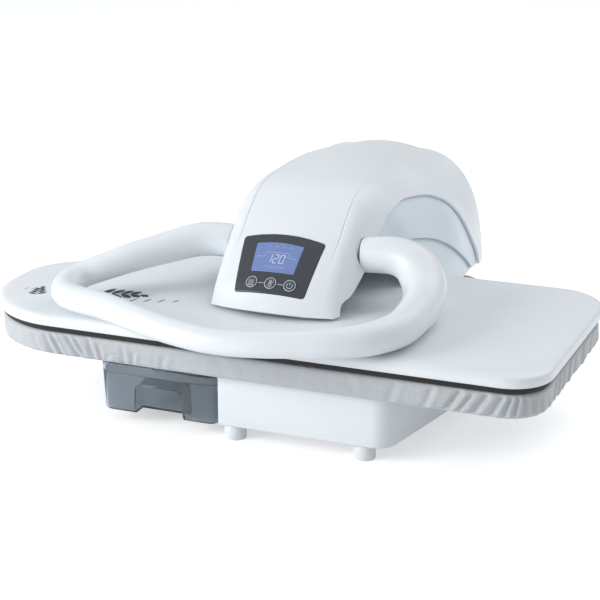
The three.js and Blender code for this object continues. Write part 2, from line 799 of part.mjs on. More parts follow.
// The panel's slope runs between two places on the front face
const panelLow = frontFaceAt(panelLowShare);
const panelHigh = frontFaceAt(panelHighShare);
const panelHeight = panelLow.distanceTo(panelHigh);
const slope = panelHigh.clone().sub(panelLow).angle();
const displayBottom = panelHeight * displayLowShare;
const displayHeight = panelHeight * displayHeightShare;
const keyHeight = panelHeight * keyHeightShare;
const panelFrame = new THREE.Matrix4().makeBasis(
  new THREE.Vector3(1, 0, 0),
  new THREE.Vector3(0, Math.cos(slope), Math.sin(slope)),
  new THREE.Vector3(0, -Math.sin(slope), Math.cos(slope)),
).setPosition(panelX, panelLow.x, panelLow.y);

// A prism standing on the panel's slope, from one depth to another
function onPanel(points, from, to) {
  const geometry = new THREE.ExtrudeGeometry(new THREE.Shape(points), { depth: to - from, bevelEnabled: false });
  return solidOf(geometry.translate(0, 0, from).applyMatrix4(panelFrame));
}

function arched(bottomHalf, topHalf, low, high, arch, radius, inset = 0) {
  const corners = [
    [-bottomHalf, low, radius],
    [bottomHalf, low, radius],
    [topHalf, high, radius],
    [0, high + arch, 4 * topHalf],
    [-topHalf, high, radius],
  ];
  return outline(corners, inset);
}

const panelPrism = (grow) => onPanel(
  arched(panelBottomHalfWidth, panelTopHalfWidth, 0, panelHeight, panelArch, panelCornerRadius, -grow),
  -4 * panelThickness, 4 * panelThickness);
const displayPrism = (grow) => onPanel(
  arched(displayWidth / 2 - displayTopGrow / 2, displayWidth / 2, displayBottom, displayBottom + displayHeight,
    displayArch, displayThickness, -grow).map((p) => p.setX(p.x + displayShift)), -4 * panelThickness, 4 * panelThickness);
const keyNames = ['key_steam', 'key_heat', 'key_power'];
const keyPlace = (index) => new THREE.Vector3((index - 1) * keyPitch, keyHeight, 0);

// A round bar standing on the panel's slope
function panelBar(place, diameter, from, to, sides = 20) {
  const geometry = new THREE.CylinderGeometry(diameter / 2, diameter / 2, to - from, sides).rotateX(Math.PI / 2);
  return solidOf(geometry.translate(place.x, place.y, (from + to) / 2).applyMatrix4(panelFrame));
}

const shellBody = headBody(0, touchGap);

function headShell() {
  const room = headBody(headWall, cutOverrun);
  const sideHole = sideways(openingLine, -headSideX - cutOverrun, headSideX + cutOverrun);
  const middle = block(-headCreaseX, headCreaseX, headFrontY - cutOverrun, headRearY, headBottomZ - headRise, headTopZ);
  const hubHole = barX(-headSideX, hubY, hubZ, hubDiscDiameter + 2 * slideGap, 2 * headSideX, 28);
  return piece('head_shell', 'gloss_white_plastic',
    cut(shellBody, room, cut(sideHole, middle), panelPrism(touchGap), hubHole));
}

function controlPanel() {
  const skin = cut(shellBody, headBody(panelThickness, cutOverrun)).intersect(panelPrism(0));
  const holes = keyNames.map((_, i) => panelBar(keyPlace(i), keyDiameter + 2 * touchGap, -4 * panelThickness, 4 * panelThickness, 14));
  const postX = panelBottomHalfWidth - 2 * panelCornerRadius;
  const posts = [[-postX, standoffDiameter], [postX, standoffDiameter], [-postX, panelHeight - standoffDiameter],
    [postX, panelHeight - standoffDiameter]].map(([x, y]) =>
    panelBar(new THREE.Vector3(x, y, 0), standoffDiameter, -boardStandoff - panelThickness, -panelThickness / 2, 6));
  return piece('control_panel', 'panel_charcoal', cut(join(cut(skin, displayPrism(touchGap)), ...posts), ...holes));
}

function displayWindow() {
  const skin = cut(shellBody, headBody(displayThickness, cutOverrun)).intersect(displayPrism(0));
  return piece('display_window', 'display_blue', skin);
}

const circuitDepth = boardStandoff + panelThickness + touchGap;

function controlBoard() {
  const edge = standoffDiameter / 2;
  const half = panelBottomHalfWidth - 2 * panelCornerRadius + edge;
  const board = onPanel(outline([[-half, edge, 0], [half, edge, 0], [half, panelHeight - edge, 0],
    [-half, panelHeight - edge, 0]]), -circuitDepth - circuitThickness, -circuitDepth);
  const left = displayShift - displayWidth / 2;
  const right = displayShift + displayWidth / 2;
  const glass = onPanel(outline([[left, displayBottom, 0], [right, displayBottom, 0],
    [right, displayBottom + displayHeight, 0], [left, displayBottom + displayHeight, 0]], displayArch),
    -circuitDepth - circuitThickness / 2, -panelThickness - touchGap);
  return piece('control_board', 'circuit_green', join(board, glass));
}

// Each key sits in its hole and stands a little proud of the curved panel
function panelKey(index) {
  const cap = panelBar(keyPlace(index), keyDiameter, -keyStem, 2 * panelThickness, 14);
  const raised = headBody(-keyProud, touchGap);
  return piece(keyNames[index], 'key_grey', cap.intersect(raised));
}

// Inner hoods under the head: the upper one carried by the arm, the lower one by the plate
const hoodInset = headWall + 2 * touchGap;
const saddleInset = hoodInset + hoodWall + slideGap;
const shifted = (line, dy, dz) => line.map(([y, z]) => [y + dy, z + dz]);

function hoodSkin(inset) {
  return cut(headBody(inset, 2 * cutOverrun), headBody(inset + hoodWall, 3 * cutOverrun));
}

function upperHood() {
  const first = partingLine[0];
  const last = partingLine[partingLine.length - 1];
  const region = [
    ...partingLine,
    [hoodRearY, last[1]],
    [hoodRearY, headTopZ + cutOverrun],
    [first[0], headTopZ + cutOverrun],
  ];
  const canopy = hoodSkin(hoodInset).intersect(sideways(region, -headSideX, headSideX));
  const post = (left) => sideways([
    [armWebY + armWebDepth / 2, archedCheekZ(armWebY + armWebDepth / 2) + touchGap],
    [armWebY + armWebDepth, archedCheekZ(armWebY + armWebDepth) + touchGap],
    [armWebY + armWebDepth, headTopZ - hoodInset - 2 * hoodWall],
    [armWebY + armWebDepth / 2, headTopZ - hoodInset - 2 * hoodWall],
  ], left, left + armThickness);
  return piece('upper_hood', 'hood_grey_plastic', join(canopy, post(armCheekX), post(-armCheekX - armThickness)));
}

function plateSaddle(side) {
  const floor = casingTopZ + touchGap;
  const behind = casingDepth + slideGap;
  const top = shifted(partingLine, 0, hoodOverlap).filter(([y]) => y > saddleFrontY && y < saddleRearY);
  const region = [
    [saddleFrontY, floor],
    [behind, floor],
    [behind, headBottomZ - headRise / 4],
    [saddleRearY, headBottomZ - headRise / 4],
    ...[[saddleRearY, top[top.length - 1][1]], ...top.reverse(), [saddleFrontY, top[top.length - 1][1]]],
  ];
  const outer = side * headSideX;
  const inner = side * (headCreaseX - cutOverrun);
  const wall = hoodSkin(saddleInset).intersect(sideways(region, Math.min(inner, outer), Math.max(inner, outer)));
  const strip = block(Math.min(inner, outer), Math.max(inner, outer), saddleFrontY, casingDepth - saddleFlange,
    floor, floor + hoodWall);
  const flange = cut(headBody(saddleInset, cutOverrun), headBody(saddleInset + hoodWall + saddleFlange, 2 * cutOverrun))
    .intersect(strip);
  return piece(side < 0 ? 'plate_saddle_left' : 'plate_saddle_right', 'hood_grey_plastic', join(wall, flange));
}

// Lever arm: two cheeks and a web, from the rear hinge to the plate's pivot
const cheekLine = [
  [plateMiddleY - 1.6 * pivotPinDiameter, pivotZ - pivotPinDiameter],
  [hubY + shaftDiameter, casingTopZ + cutOverrun],
  [casingDepth + cutOverrun, casingTopZ + cutOverrun],
  [hingeY - 2 * axleDiameter, hingeZ - axleDiameter],
  [hingeY + axleDiameter / 2, hingeZ - axleDiameter],
  [hingeY + axleDiameter, hingeZ],
  [hingeY + axleDiameter / 2, hingeZ + axleDiameter],
  [casingDepth + cutOverrun, pivotZ + axleDiameter / 2],
  [armWebY, hubZ - shaftDiameter / 3],
  [hubY + shaftDiameter / 2, hubZ + shaftDiameter * 0.75],
  [hubY - shaftDiameter / 2, hubZ + shaftDiameter * 0.75],
  [hubY - shaftDiameter * 0.8, hubZ],
  [plateMiddleY - 1.6 * pivotPinDiameter, pivotZ + pivotPinDiameter],
];

// Height of the cheek's upper edge at a place between the web and the rear
function archedCheekZ(y) {
  const [low, high] = [cheekLine[8], cheekLine[7]];
  return low[1] + (high[1] - low[1]) * (y - low[0]) / (high[0] - low[0]);
}

function leverArm() {
  const cheek = (left) => sideways(cheekLine, left, left + armThickness);
  const webZ = casingTopZ + cutOverrun;
  const web = block(-armCheekX - armThickness, armCheekX + armThickness, armWebY, armWebY + armWebDepth, webZ, webZ + armThickness);
  const span = 4 * armCheekX;
  const bore = (y, z, diameter) => barX(-span / 2, y, z, diameter + 2 * touchGap, span);
  const body = join(cheek(armCheekX), cheek(-armCheekX - armThickness), web);
  return piece('lever_arm', 'steel_plated', cut(body, bore(hingeY, hingeZ, axleDiameter), bore(hubY, hubZ, shaftDiameter),
    bore(plateMiddleY, pivotZ, pivotPinDiameter)));
}

function pivotPin() {
  const length = 2 * (armCheekX + armThickness + touchGap);
  return piece('pivot_pin', 'steel_plated', barX(-length / 2, plateMiddleY, pivotZ, pivotPinDiameter, length));
}

// Heated plate, from the sole up
const plateHalfDepth = plateMiddleY;

function solePlate() {
  const slab = upright(casingOutline(solePlateInset), solePlateZ, solePlateTopZ);
  const holes = [];
  const columns = 5;
  const rows = 3;
  for (let i = 0; i < columns; i++) {
    for (let j = 0; j < rows; j++) {
      const x = steamChamberLength * (i / (columns - 1) - 0.5) * 0.9;
      const y = plateHalfDepth + steamChamberDepth * (j / (rows - 1) - 0.5) * 0.75;
      holes.push(barZ(x, y, solePlateZ - cutOverrun, steamHoleDiameter, solePlateThickness + 2 * cutOverrun, 6));
    }
  }
  return piece('sole_plate', 'nonstick_black', cut(slab, ...holes));
}

function plateCarrier() {
  const slab = upright(casingOutline(carrierInset), carrierZ, carrierZ + carrierThickness);
  const room = upright(casingOutline(carrierInset + carrierWidth), carrierZ - cutOverrun, carrierZ + cutOverrun);
  const lipOuter = upright(casingOutline(casingWall + slideGap), carrierZ, casingCeilingZ - 2 * casingWall);
  const lipInner = upright(casingOutline(2 * casingWall + slideGap), carrierZ - cutOverrun, casingTopZ);
  return piece('plate_carrier', 'nonstick_black', join(cut(slab, room), cut(lipOuter, lipInner)));
}

function plateCasing() {
  const edgeShares = [
    // [inset, share of the height]
    [0.9, 0],
    [0, 0.14],
    [0, 0.6],
    [1.2, 0.8],
    [4, 0.94],
    [11, 1],
  ];
  const outer = solidOf(loft(edgeShares.map(([insetShare, heightShare]) =>
    ring(casingOutline(insetShare), casingZ + casingHeight * heightShare))));
  const room = upright(casingOutline(casingWall), casingZ - cutOverrun, casingCeilingZ - casingWall)
    .add(upright(casingOutline(3 * casingWall), casingZ, casingCeilingZ));
  return piece('plate_casing', 'gloss_white_plastic', cut(outer, room));
}

function heatingElement() {
  const z = solePlateTopZ + touchGap + elementDiameter / 2;
  const x = elementLoopLength / 2;
  const y = elementLoopDepth / 2;
  const r = elementDiameter / 2;
  const stations = [
    [-elementDiameter * 2, plateHalfDepth - y, z, r],
    [-x + y, plateHalfDepth - y, z, r],
    [-x + y / 4, plateHalfDepth - y * 0.7, z, r],
    [-x, plateHalfDepth, z, r],
    [-x + y / 4, plateHalfDepth + y * 0.7, z, r],
    [-x + y, plateHalfDepth + y, z, r],
    [0, plateHalfDepth + y, z, r],
    [x - y, plateHalfDepth + y, z, r],
    [x - y / 4, plateHalfDepth + y * 0.7, z, r],
    [x, plateHalfDepth, z, r],
    [x - y / 4, plateHalfDepth - y * 0.7, z, r],
    [x - y, plateHalfDepth - y, z, r],
    [elementDiameter * 2, plateHalfDepth - y, z, r],
  ];
  return piece('heating_element', 'steel_plated', tube(stations, 8, 3));
}

function steamChamber() {
  const z = solePlateTopZ + touchGap;
  const corners = [
    [-steamChamberLength / 2, plateHalfDepth - steamChamberDepth / 2, tankCornerRadius],
    [steamChamberLength / 2, plateHalfDepth - steamChamberDepth / 2, tankCornerRadius],
    [steamChamberLength / 2, plateHalfDepth + steamChamberDepth / 2, tankCornerRadius],
    [-steamChamberLength / 2, plateHalfDepth + steamChamberDepth / 2, tankCornerRadius],
  ];
  const outer = upright(outline(corners), z, z + steamChamberHeight);
  const room = upright(outline(corners, casingWall), z - cutOverrun, z + steamChamberHeight - casingWall);
  return piece('steam_chamber', 'steel_plated', cut(outer, room));
}

const insulationZ = solePlateTopZ + touchGap + steamChamberHeight + touchGap;
const thermostatX = steamChamberLength / 2 + thermostatDiameter;
const inletX = steamChamberLength / 4;

function steamInlet() {
  const stub = barZ(inletX, plateHalfDepth, insulationZ, steamInletDiameter, casingCeilingZ - insulationZ - touchGap, 16);
  return piece('steam_inlet', 'brass_plain', stub);
}

function insulationSheet() {
  const sheet = upright(casingOutline(insulationInset), insulationZ, insulationZ + insulationThickness);
  const inletHole = barZ(inletX, plateHalfDepth, insulationZ - cutOverrun, steamInletDiameter + 2 * slideGap, 3 * cutOverrun, 16);
  const thermostatHole = barZ(thermostatX, plateHalfDepth, insulationZ - cutOverrun, thermostatDiameter + 2 * slideGap,
    3 * cutOverrun, 16);
  return piece('insulation_sheet', 'insulation_buff', cut(sheet, inletHole, thermostatHole));
}

function thermostat() {
  return piece('thermostat', 'brass_plain',
    barZ(thermostatX, plateHalfDepth, solePlateTopZ + touchGap, thermostatDiameter, thermostatHeight, 16));
}

function thermalFuse() {
  const z = solePlateTopZ + touchGap + fuseDiameter / 2;
  return piece('thermal_fuse', 'inner_white_plastic',
    barX(-thermostatX - fuseLength, plateHalfDepth, z - touchGap, fuseDiameter - touchGap, fuseLength, 12));
}

function plateBracket() {
  const foot = casingTopZ + touchGap;
  const y0 = plateMiddleY - pivotLugLength / 2;
  const y1 = plateMiddleY + pivotLugLength / 2;
  const reach = pivotPinDiameter;
  const lug = (left) => sideways([
    [y0, foot],
    [y1, foot],
    [plateMiddleY + reach, pivotZ],
    [plateMiddleY + reach / 2, pivotZ + reach * 0.9],
    [plateMiddleY - reach / 2, pivotZ + reach * 0.9],
    [plateMiddleY - reach, pivotZ],
  ], left, left + pivotLugThickness);
  const pad = block(-pivotLugX - pivotLugThickness, pivotLugX + pivotLugThickness, y0, y1, foot, foot + pivotFootThickness);
  const bore = barX(-2 * pivotLugX, plateMiddleY, pivotZ, pivotPinDiameter + 2 * touchGap, 4 * pivotLugX);
  return piece('plate_bracket', 'steel_plated', cut(join(pad, lug(pivotLugX), lug(-pivotLugX - pivotLugThickness)), bore));
}

// Loop handle: stations from the right knuckle round the front to the left knuckle
const handleShares = [
  // [share of the reach, share of the way to the front, share of the drop, share of the grip radius]
  [0.35, 0, 0, 0.93],
  [0.5, -0.005, -0.06, 1],
  [0.595, 0.01, 0.08, 1.1],
  [0.655, 0.049, 0.36, 1.16],
  [0.695, 0.121, 0.62, 1.15],
  [0.72, 0.243, 0.77, 1.07],
  [0.73, 0.42, 0.81, 0.96],
  [0.712, 0.63, 0.85, 0.88],
  [0.62, 0.79, 0.88, 0.8],
  [0.48, 0.885, 0.915, 0.72],
  [0.35, 0.93, 0.955, 0.68],
  [0.171, 0.975, 1.01, 0.655],
  [0, 0.99, 1.05, 0.645],
  [-0.153, 0.975, 1.045, 0.65],
  [-0.37, 0.92, 0.985, 0.67],
  [-0.667, 0.801, 0.895, 0.695],
  [-0.82, 0.757, 0.89, 0.7],
  [-0.93, 0.709, 0.885, 0.7],
  [-0.99, 0.626, 0.86, 0.7],
  [-1, 0.534, 0.8, 0.7],
  [-0.968, 0.456, 0.7, 0.71],
  [-0.884, 0.388, 0.52, 0.74],
  [-0.782, 0.3, 0.33, 0.79],
  [-0.648, 0.17, 0.14, 0.86],
  [-0.5, 0.05, -0.03, 0.93],
  [-0.35, 0, 0, 0.93],
];

function handleLoop() {
  const stations = handleShares.map(([reachShare, frontShare, dropShare, radiusShare]) => [
    handleReach * reachShare,
    hubY + (handleFrontY - hubY) * frontShare,
    hubZ + (handleFrontZ - hubZ) * dropShare,
    gripRadius * radiusShare,
  ]);
  const between = barX(-knuckleX, hubY, hubZ, 4 * gripRadius, 2 * knuckleX);
  return piece('handle_loop', 'gloss_white_plastic', cut(solidOf(tube(stations, 12, 2)), between));
}

const hubDiscX = knuckleX - touchGap - hubDiscThickness;

function hubDisc(side) {
  const left = side < 0 ? -knuckleX + touchGap : hubDiscX;
  return piece(side < 0 ? 'hub_disc_left' : 'hub_disc_right', 'gloss_white_plastic',
    barX(left, hubY, hubZ, hubDiscDiameter, hubDiscThickness, 28));
}

function handleShaft() {
  const length = 2 * (hubDiscX - touchGap);
  return piece('handle_shaft', 'steel_plated', barX(-length / 2, hubY, hubZ, shaftDiameter, length, 24));
}

// Crank on the shaft, and the link from its pin to the anchor on the base
const lean = THREE.MathUtils.degToRad(crankLeanDegrees);
const crankPinY = hubY - crankLength * Math.sin(lean);
const crankPinZ = hubZ + crankLength * Math.cos(lean);

function handleCrank() {
  const inner = linkWidth / 2 + touchGap;
  const web = (left) => {
    const arm = outline([
      [hubY - shaftDiameter * 0.8, hubZ - shaftDiameter * 0.8, shaftDiameter / 2],
      [hubY + shaftDiameter * 0.8, hubZ - shaftDiameter * 0.8, shaftDiameter / 2],
      [crankPinY + crankPinDiameter * 0.8, crankPinZ + crankPinDiameter * 0.8, crankPinDiameter / 2],
      [crankPinY - crankPinDiameter * 0.8, crankPinZ + crankPinDiameter * 0.8, crankPinDiameter / 2],
    ]);
    return sideways(arm.map((p) => [p.x, p.y]), left, left + crankThickness);
  };
  const pin = barX(-inner - crankThickness, crankPinY, crankPinZ, crankPinDiameter, 2 * (inner + crankThickness), 14);
  const bore = barX(-4 * inner, hubY, hubZ, shaftDiameter + 2 * touchGap, 8 * inner, 24);
  return piece('handle_crank', 'steel_plated', cut(join(web(inner), web(-inner - crankThickness), pin), bore));
}

function pressureLink() {
  const along = new THREE.Vector2(linkAnchorY - crankPinY, linkAnchorZ - crankPinZ).normalize();
  const up = new THREE.Vector2(-along.y, along.x);
  const from = new THREE.Vector2(crankPinY, crankPinZ);
  const to = new THREE.Vector2(linkAnchorY, linkAnchorZ);
  const edge = (end, push, lift) => end.clone().addScaledVector(along, push).addScaledVector(up, lift).toArray();
  const rodHalf = linkThickness / 2;
  const rod = sideways([edge(from, 0, -rodHalf), edge(to, 0, -rodHalf), edge(to, 0, rodHalf), edge(from, 0, rodHalf)],
    -linkWidth / 2, linkWidth / 2);
  const eye = barX(-linkWidth / 2, linkAnchorY, linkAnchorZ, linkEyeDiameter, linkWidth, 18);
  const head = barX(-linkWidth / 2, crankPinY, crankPinZ, crankPinDiameter + 2 * crankThickness / 2, linkWidth, 18);
  const pinHole = barX(-linkWidth, crankPinY, crankPinZ, crankPinDiameter + 2 * touchGap, 2 * linkWidth, 14);
  const openHole = barX(-linkWidth, linkAnchorY, linkAnchorZ, crankPinDiameter + 2 * linkOpenClearance, 2 * linkWidth, 14);
  return piece('pressure_link', 'steel_plated', cut(join(rod, eye, head), pinHole, openHole));
}

// Water tank: an open box, a lid with runners, and a filler cap
const tankRightX = baseTankSideX - slideGap;
const tankRearY = bayRearY - tankRearGap;
const tankTopZ = tankFloorZ + tankBodyHeight;
const lidZ = tankTopZ + touchGap;
const lidTopZ = lidZ + tankLidHeight;
const tankCorners = [
  [tankLeftX, baseFrontY, tankCornerRadius],
  [tankRightX, baseFrontY, tankCornerRadius],
  [tankRightX, tankRearY, tankCornerRadius],
  [tankLeftX, tankRearY, tankCornerRadius],
];
const runnerXs = [valveX - railSpacing / 2, valveX + railSpacing / 2];

function waterTank() {
  const outer = solidOf(loft([
    ring(outline(tankCorners, tankTaper), tankFloorZ),
    ring(outline(tankCorners, tankTaper / 2), tankFloorZ + tankTaper),
    ring(outline(tankCorners, touchGap), tankTopZ),
  ]));
  const room = solidOf(loft([
    ring(outline(tankCorners, tankTaper + tankWall), tankFloorZ + tankWall),
    ring(outline(tankCorners, touchGap + tankWall), tankTopZ + cutOverrun),
  ]));
  const gripBox = (grow, floor) => block(valveX - gripWidth / 2 - grow, valveX + gripWidth / 2 + grow,
    baseFrontY - cutOverrun, baseFrontY + gripDepth + grow, floor, tankFloorZ + gripLift + gripHeight + grow);
  const pocketWalls = gripBox(tankWall, tankFloorZ + tankTaper).intersect(outer);
  const body = join(cut(outer, room), pocketWalls);
  const spigot = barY(valveX, tankRearY - tankTaper, valveZ, valveDiameter, tankRearGap + tankTaper + baseWall, 20);
  return piece('water_tank', 'tank_smoke', join(cut(body, gripBox(0, tankFloorZ - cutOverrun)), spigot));
}

function tankLid() {
  const skirt = upright(outline(tankCorners, 0), lidZ, lidTopZ);
  const room = upright(outline(tankCorners, tankWall), lidZ - cutOverrun, lidTopZ - tankWall);
  const filler = barZ(valveX, baseFrontY + fillerBack, lidZ, fillerDiameter * 0.8, 2 * tankLidHeight, 24);
  const runners = runnerXs.map((x) => {
    const stem = block(x - runnerStem / 2, x + runnerStem / 2, tankRearY - railLength, tankRearY - tankCornerRadius,
      lidTopZ - tankWall / 2, lidTopZ + runnerPlate + slideGap);
    const head = block(x - runnerHead / 2, x + runnerHead / 2, tankRearY - railLength, tankRearY - tankCornerRadius,
      lidTopZ + runnerPlate + slideGap - touchGap, lidTopZ + 2 * runnerPlate);
    return stem.add(head);
  });
  return piece('tank_lid', 'tank_smoke', join(cut(skirt, room, filler), ...runners));
}

function fillerCap() {
  const flange = barZ(valveX, baseFrontY + fillerBack, lidTopZ + touchGap, fillerDiameter, fillerHeight, 28);
  const plug = barZ(valveX, baseFrontY + fillerBack, lidZ + tankWall, fillerDiameter * 0.8 - 2 * touchGap,
    tankLidHeight, 24);
  return piece('filler_cap', 'inner_white_plastic', join(flange, plug));
}

function tankRail(index) {
  const x = runnerXs[index];
  const top = boardBottomZ - touchGap;
  const lipZ = lidTopZ + touchGap;
  const inside = runnerHead / 2 + slideGap;
  const outside = inside + runnerPlate;
  const slot = runnerStem / 2 + slideGap;
  const front = tankRearY - railLength;
  const channel = block(x - outside, x + outside, front, tankRearY, lipZ, top);
  const room = block(x - inside, x + inside, front - cutOverrun, tankRearY + cutOverrun,
    lipZ + runnerPlate - touchGap, lidTopZ + 2 * runnerPlate + touchGap);
  const mouth = block(x - slot, x + slot, front - cutOverrun, tankRearY + cutOverrun, lipZ - cutOverrun, lipZ + runnerPlate);
  return piece(index ? 'tank_rail_right' : 'tank_rail_left', 'steel_plated', cut(channel, room, mouth));
}

// The press as it stands, moved so that the origin is in the middle of its footprint
const press = new THREE.Group();

const base = new THREE.Group();
base.add(baseShell(), basePlate(), boardPanel(), padFoam(), padCover());
base.add(waterPump(), feedHose(), valveSocket(), powerBoard(), cordGland(), tankRail(0), tankRail(1));
base.add(hingeBracket(-1), hingeBracket(1), hingeAxle(), liftSpring(-1), liftSpring(1), linkAnchor());
Object.keys(feet).forEach((side) => base.add(foot(side), footPad(side)));

const head = new THREE.Group();
head.add(headShell(), controlPanel(), displayWindow(), controlBoard(), upperHood(), leverArm(), pivotPin());
keyNames.forEach((_, index) => head.add(panelKey(index)));

const plate = new THREE.Group();
plate.add(solePlate(), plateCarrier(), plateCasing(), heatingElement(), steamChamber(), steamInlet());
plate.add(insulationSheet(), thermostat(), thermalFuse(), plateBracket(), plateSaddle(-1), plateSaddle(1));

const handle = new THREE.Group();
handle.add(handleLoop(), hubDisc(-1), hubDisc(1), handleShaft(), handleCrank(), pressureLink());

const tank = new THREE.Group();
tank.add(waterTank(), tankLid(), fillerCap());

press.add(base, head, plate, handle, tank);
const middle = new THREE.Box3().setFromObject(press).getCenter(new THREE.Vector3());
press.position.set(-middle.x, -middle.y, 0);

export default press;
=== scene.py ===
import math

import bmesh
import bpy
from mathutils import Matrix, Vector, noise


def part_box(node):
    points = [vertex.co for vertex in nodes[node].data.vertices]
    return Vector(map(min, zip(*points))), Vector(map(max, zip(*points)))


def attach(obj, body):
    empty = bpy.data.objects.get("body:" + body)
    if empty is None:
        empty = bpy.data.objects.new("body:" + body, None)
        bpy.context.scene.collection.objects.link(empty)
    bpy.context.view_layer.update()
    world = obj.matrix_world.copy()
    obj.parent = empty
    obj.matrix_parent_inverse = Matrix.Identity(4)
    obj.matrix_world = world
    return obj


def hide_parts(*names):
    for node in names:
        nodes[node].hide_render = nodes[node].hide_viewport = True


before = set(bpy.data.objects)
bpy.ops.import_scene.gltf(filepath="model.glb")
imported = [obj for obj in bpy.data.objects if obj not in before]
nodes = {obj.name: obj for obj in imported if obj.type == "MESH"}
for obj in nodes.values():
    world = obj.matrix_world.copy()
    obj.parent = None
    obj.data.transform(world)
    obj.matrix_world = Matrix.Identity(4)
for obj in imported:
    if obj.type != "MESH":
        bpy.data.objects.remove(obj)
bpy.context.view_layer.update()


# The camera: a long lens in front, above and to the right of the press.
# Sizes in this file are millimetres from the front edge of the plate's casing,
# with X from the middle of the plate; press_at turns them into the frame's metres.
casing_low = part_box("plate_casing")[0]
plate_length = 640.0
camera_place = (562.87, -1277.84, 626.75)
camera_turn = math.radians(21.235)
camera_tilt = math.radians(18.5)


def press_at(x, y, z):
    return Vector((casing_low.x + (x + plate_length / 2) / 1000, casing_low.y + y / 1000, z / 1000))


def placed(name, data):
    piece = bpy.data.objects.new(name, data)
    bpy.context.scene.collection.objects.link(piece)
    return piece


def add_camera():
    lens = bpy.data.cameras.new("photo_camera")
    lens.sensor_width = 36.0
    lens.lens = 90.08
    lens.clip_end = 20.0
    camera = placed("photo_camera", lens)
    camera.location = press_at(*camera_place)
    level = math.cos(camera_tilt)
    back = Vector((math.sin(camera_turn) * level, -math.cos(camera_turn) * level, math.sin(camera_tilt)))
    camera.rotation_euler = back.to_track_quat("Z", "Y").to_euler()
    bpy.context.scene.camera = camera


add_camera()


# The base box: one white gloss moulding, open below, with a bay left out of it
# at the front left for the tank. Its walls are 2.8 mm and every edge is eased.
def rounded_outline(corners, inset, step=3.0):
    points = []
    count = len(corners)
    for i, (x, y, radius) in enumerate(corners):
        here = Vector((x, y))
        before = Vector(corners[i - 1][:2])
        after = Vector(corners[(i + 1) % count][:2])
        inward = (here - before).normalized()
        outward = (after - here).normalized()
        left_in = Vector((-inward.y, inward.x))
        left_out = Vector((-outward.y, outward.x))
        turn = math.atan2(inward.x * outward.y - inward.y * outward.x, inward.dot(outward))
        side = math.copysign(1, turn)
        middle = here + (left_in + left_out) * (inset / (1 + left_in.dot(left_out)))
        bend = max(radius - side * inset, 0.0)
        start = middle - inward * bend * math.tan(abs(turn) / 2)
        centre = start + left_in * bend * side
        steps = max(2, round(abs(math.degrees(turn)) / step)) if radius else 1
        for k in range(steps + 1):
            angle = turn * k / steps
            arm = start - centre
            points.append((centre.x + arm.x * math.cos(angle) - arm.y * math.sin(angle),
                           centre.y + arm.x * math.sin(angle) + arm.y * math.cos(angle)))
    return points


def face_outwards(mesh):
    shape = bmesh.new()
    shape.from_mesh(mesh)
    bmesh.ops.recalc_face_normals(shape, faces=shape.faces)
    shape.to_mesh(mesh)
    shape.free()


def meshed(name, points, faces, closed):
    mesh = bpy.data.meshes.new(name)
    mesh.from_pydata([press_at(*point) for point in points], [], faces)
    if closed:
        face_outwards(mesh)
    return placed(name, mesh)


def skin(name, rows, caps=True):
    width = len(rows[0])
    faces = []
    for low in range(len(rows) - 1):
        for k in range(width):
            a = low * width + k
            b = low * width + (k + 1) % width
            faces.append((a, b, b + width, a + width))
    if caps:
        faces.append(tuple(reversed(range(width))))
        faces.append(tuple(range((len(rows) - 1) * width, len(rows) * width)))
    return meshed(name, [point for row in rows for point in row], faces, closed=caps)


def stacked(name, corners, levels, step=3.0):
    return skin(name, [[(x, y, z) for x, y in rounded_outline(corners, inset, step)] for inset, z in levels])


def paint(code):
    parts = [int(code[k:k + 2], 16) / 255 for k in (1, 3, 5)]
    return [part / 12.92 if part < 0.04045 else ((part + 0.055) / 1.055) ** 2.4 for part in parts]


def set_inputs(node, **values):
    for name, value in values.items():
        node.inputs[name.replace("_", " ")].default_value = value


def node_in(tree, kind, **values):
    node = tree.nodes.new("ShaderNode" + kind)
    set_inputs(node, **values)
    return node


# A finish varies a little in colour and gloss over each cloud, and stands up and
# sinks over each grain. Both are sizes in millimetres.
def finish_with(name, code, roughness, relief, metallic=0.0, mottle=0.02, cloud=40.0, grain=1.5,
                stretch=(1, 1, 1)):
    material = bpy.data.materials.new(name)
    material.use_nodes = True
    tree = material.node_tree
    link = tree.links.new
    shader = tree.nodes["Principled BSDF"]
    place = node_in(tree, "TexCoord")
    stretched = node_in(tree, "Mapping", Scale=stretch)
    clouds = node_in(tree, "TexNoise", Scale=1000 / cloud, Detail=4)
    grains = node_in(tree, "TexNoise", Scale=1000 / grain, Detail=3)
    link(place.outputs["Object"], stretched.inputs["Vector"])
    link(stretched.outputs["Vector"], clouds.inputs["Vector"])
    link(stretched.outputs["Vector"], grains.inputs["Vector"])
    blend = node_in(tree, "Mix")
    blend.data_type = "RGBA"
    colour = paint(code)
    blend.inputs[6].default_value = [part * (1 - mottle) for part in colour] + [1]
    blend.inputs[7].default_value = [min(part * (1 + mottle), 1) for part in colour] + [1]
    link(clouds.outputs["Fac"], blend.inputs[0])
    link(blend.outputs[2], shader.inputs["Base Color"])
    rub = node_in(tree, "MapRange", To_Min=roughness * 0.85, To_Max=min(roughness * 1.15, 1))
    link(clouds.outputs["Fac"], rub.inputs["Value"])
    link(rub.outputs["Result"], shader.inputs["Roughness"])
    set_inputs(shader, Metallic=metallic)
    bump = node_in(tree, "Bump", Strength=relief, Distance=0.001)
    link(grains.outputs["Fac"], bump.inputs["Height"])
    link(bump.outputs["Normal"], shader.inputs["Normal"])
    return material


def fit(piece, body, material, stands_for=(), crisp=38):
    piece.data.materials.clear()
    piece.data.materials.append(material)
    piece.data.shade_smooth()
    piece.data.set_sharp_from_angle(angle=math.radians(crisp))
    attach(piece, body)
    if stands_for:
        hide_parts(*stands_for)
    return piece


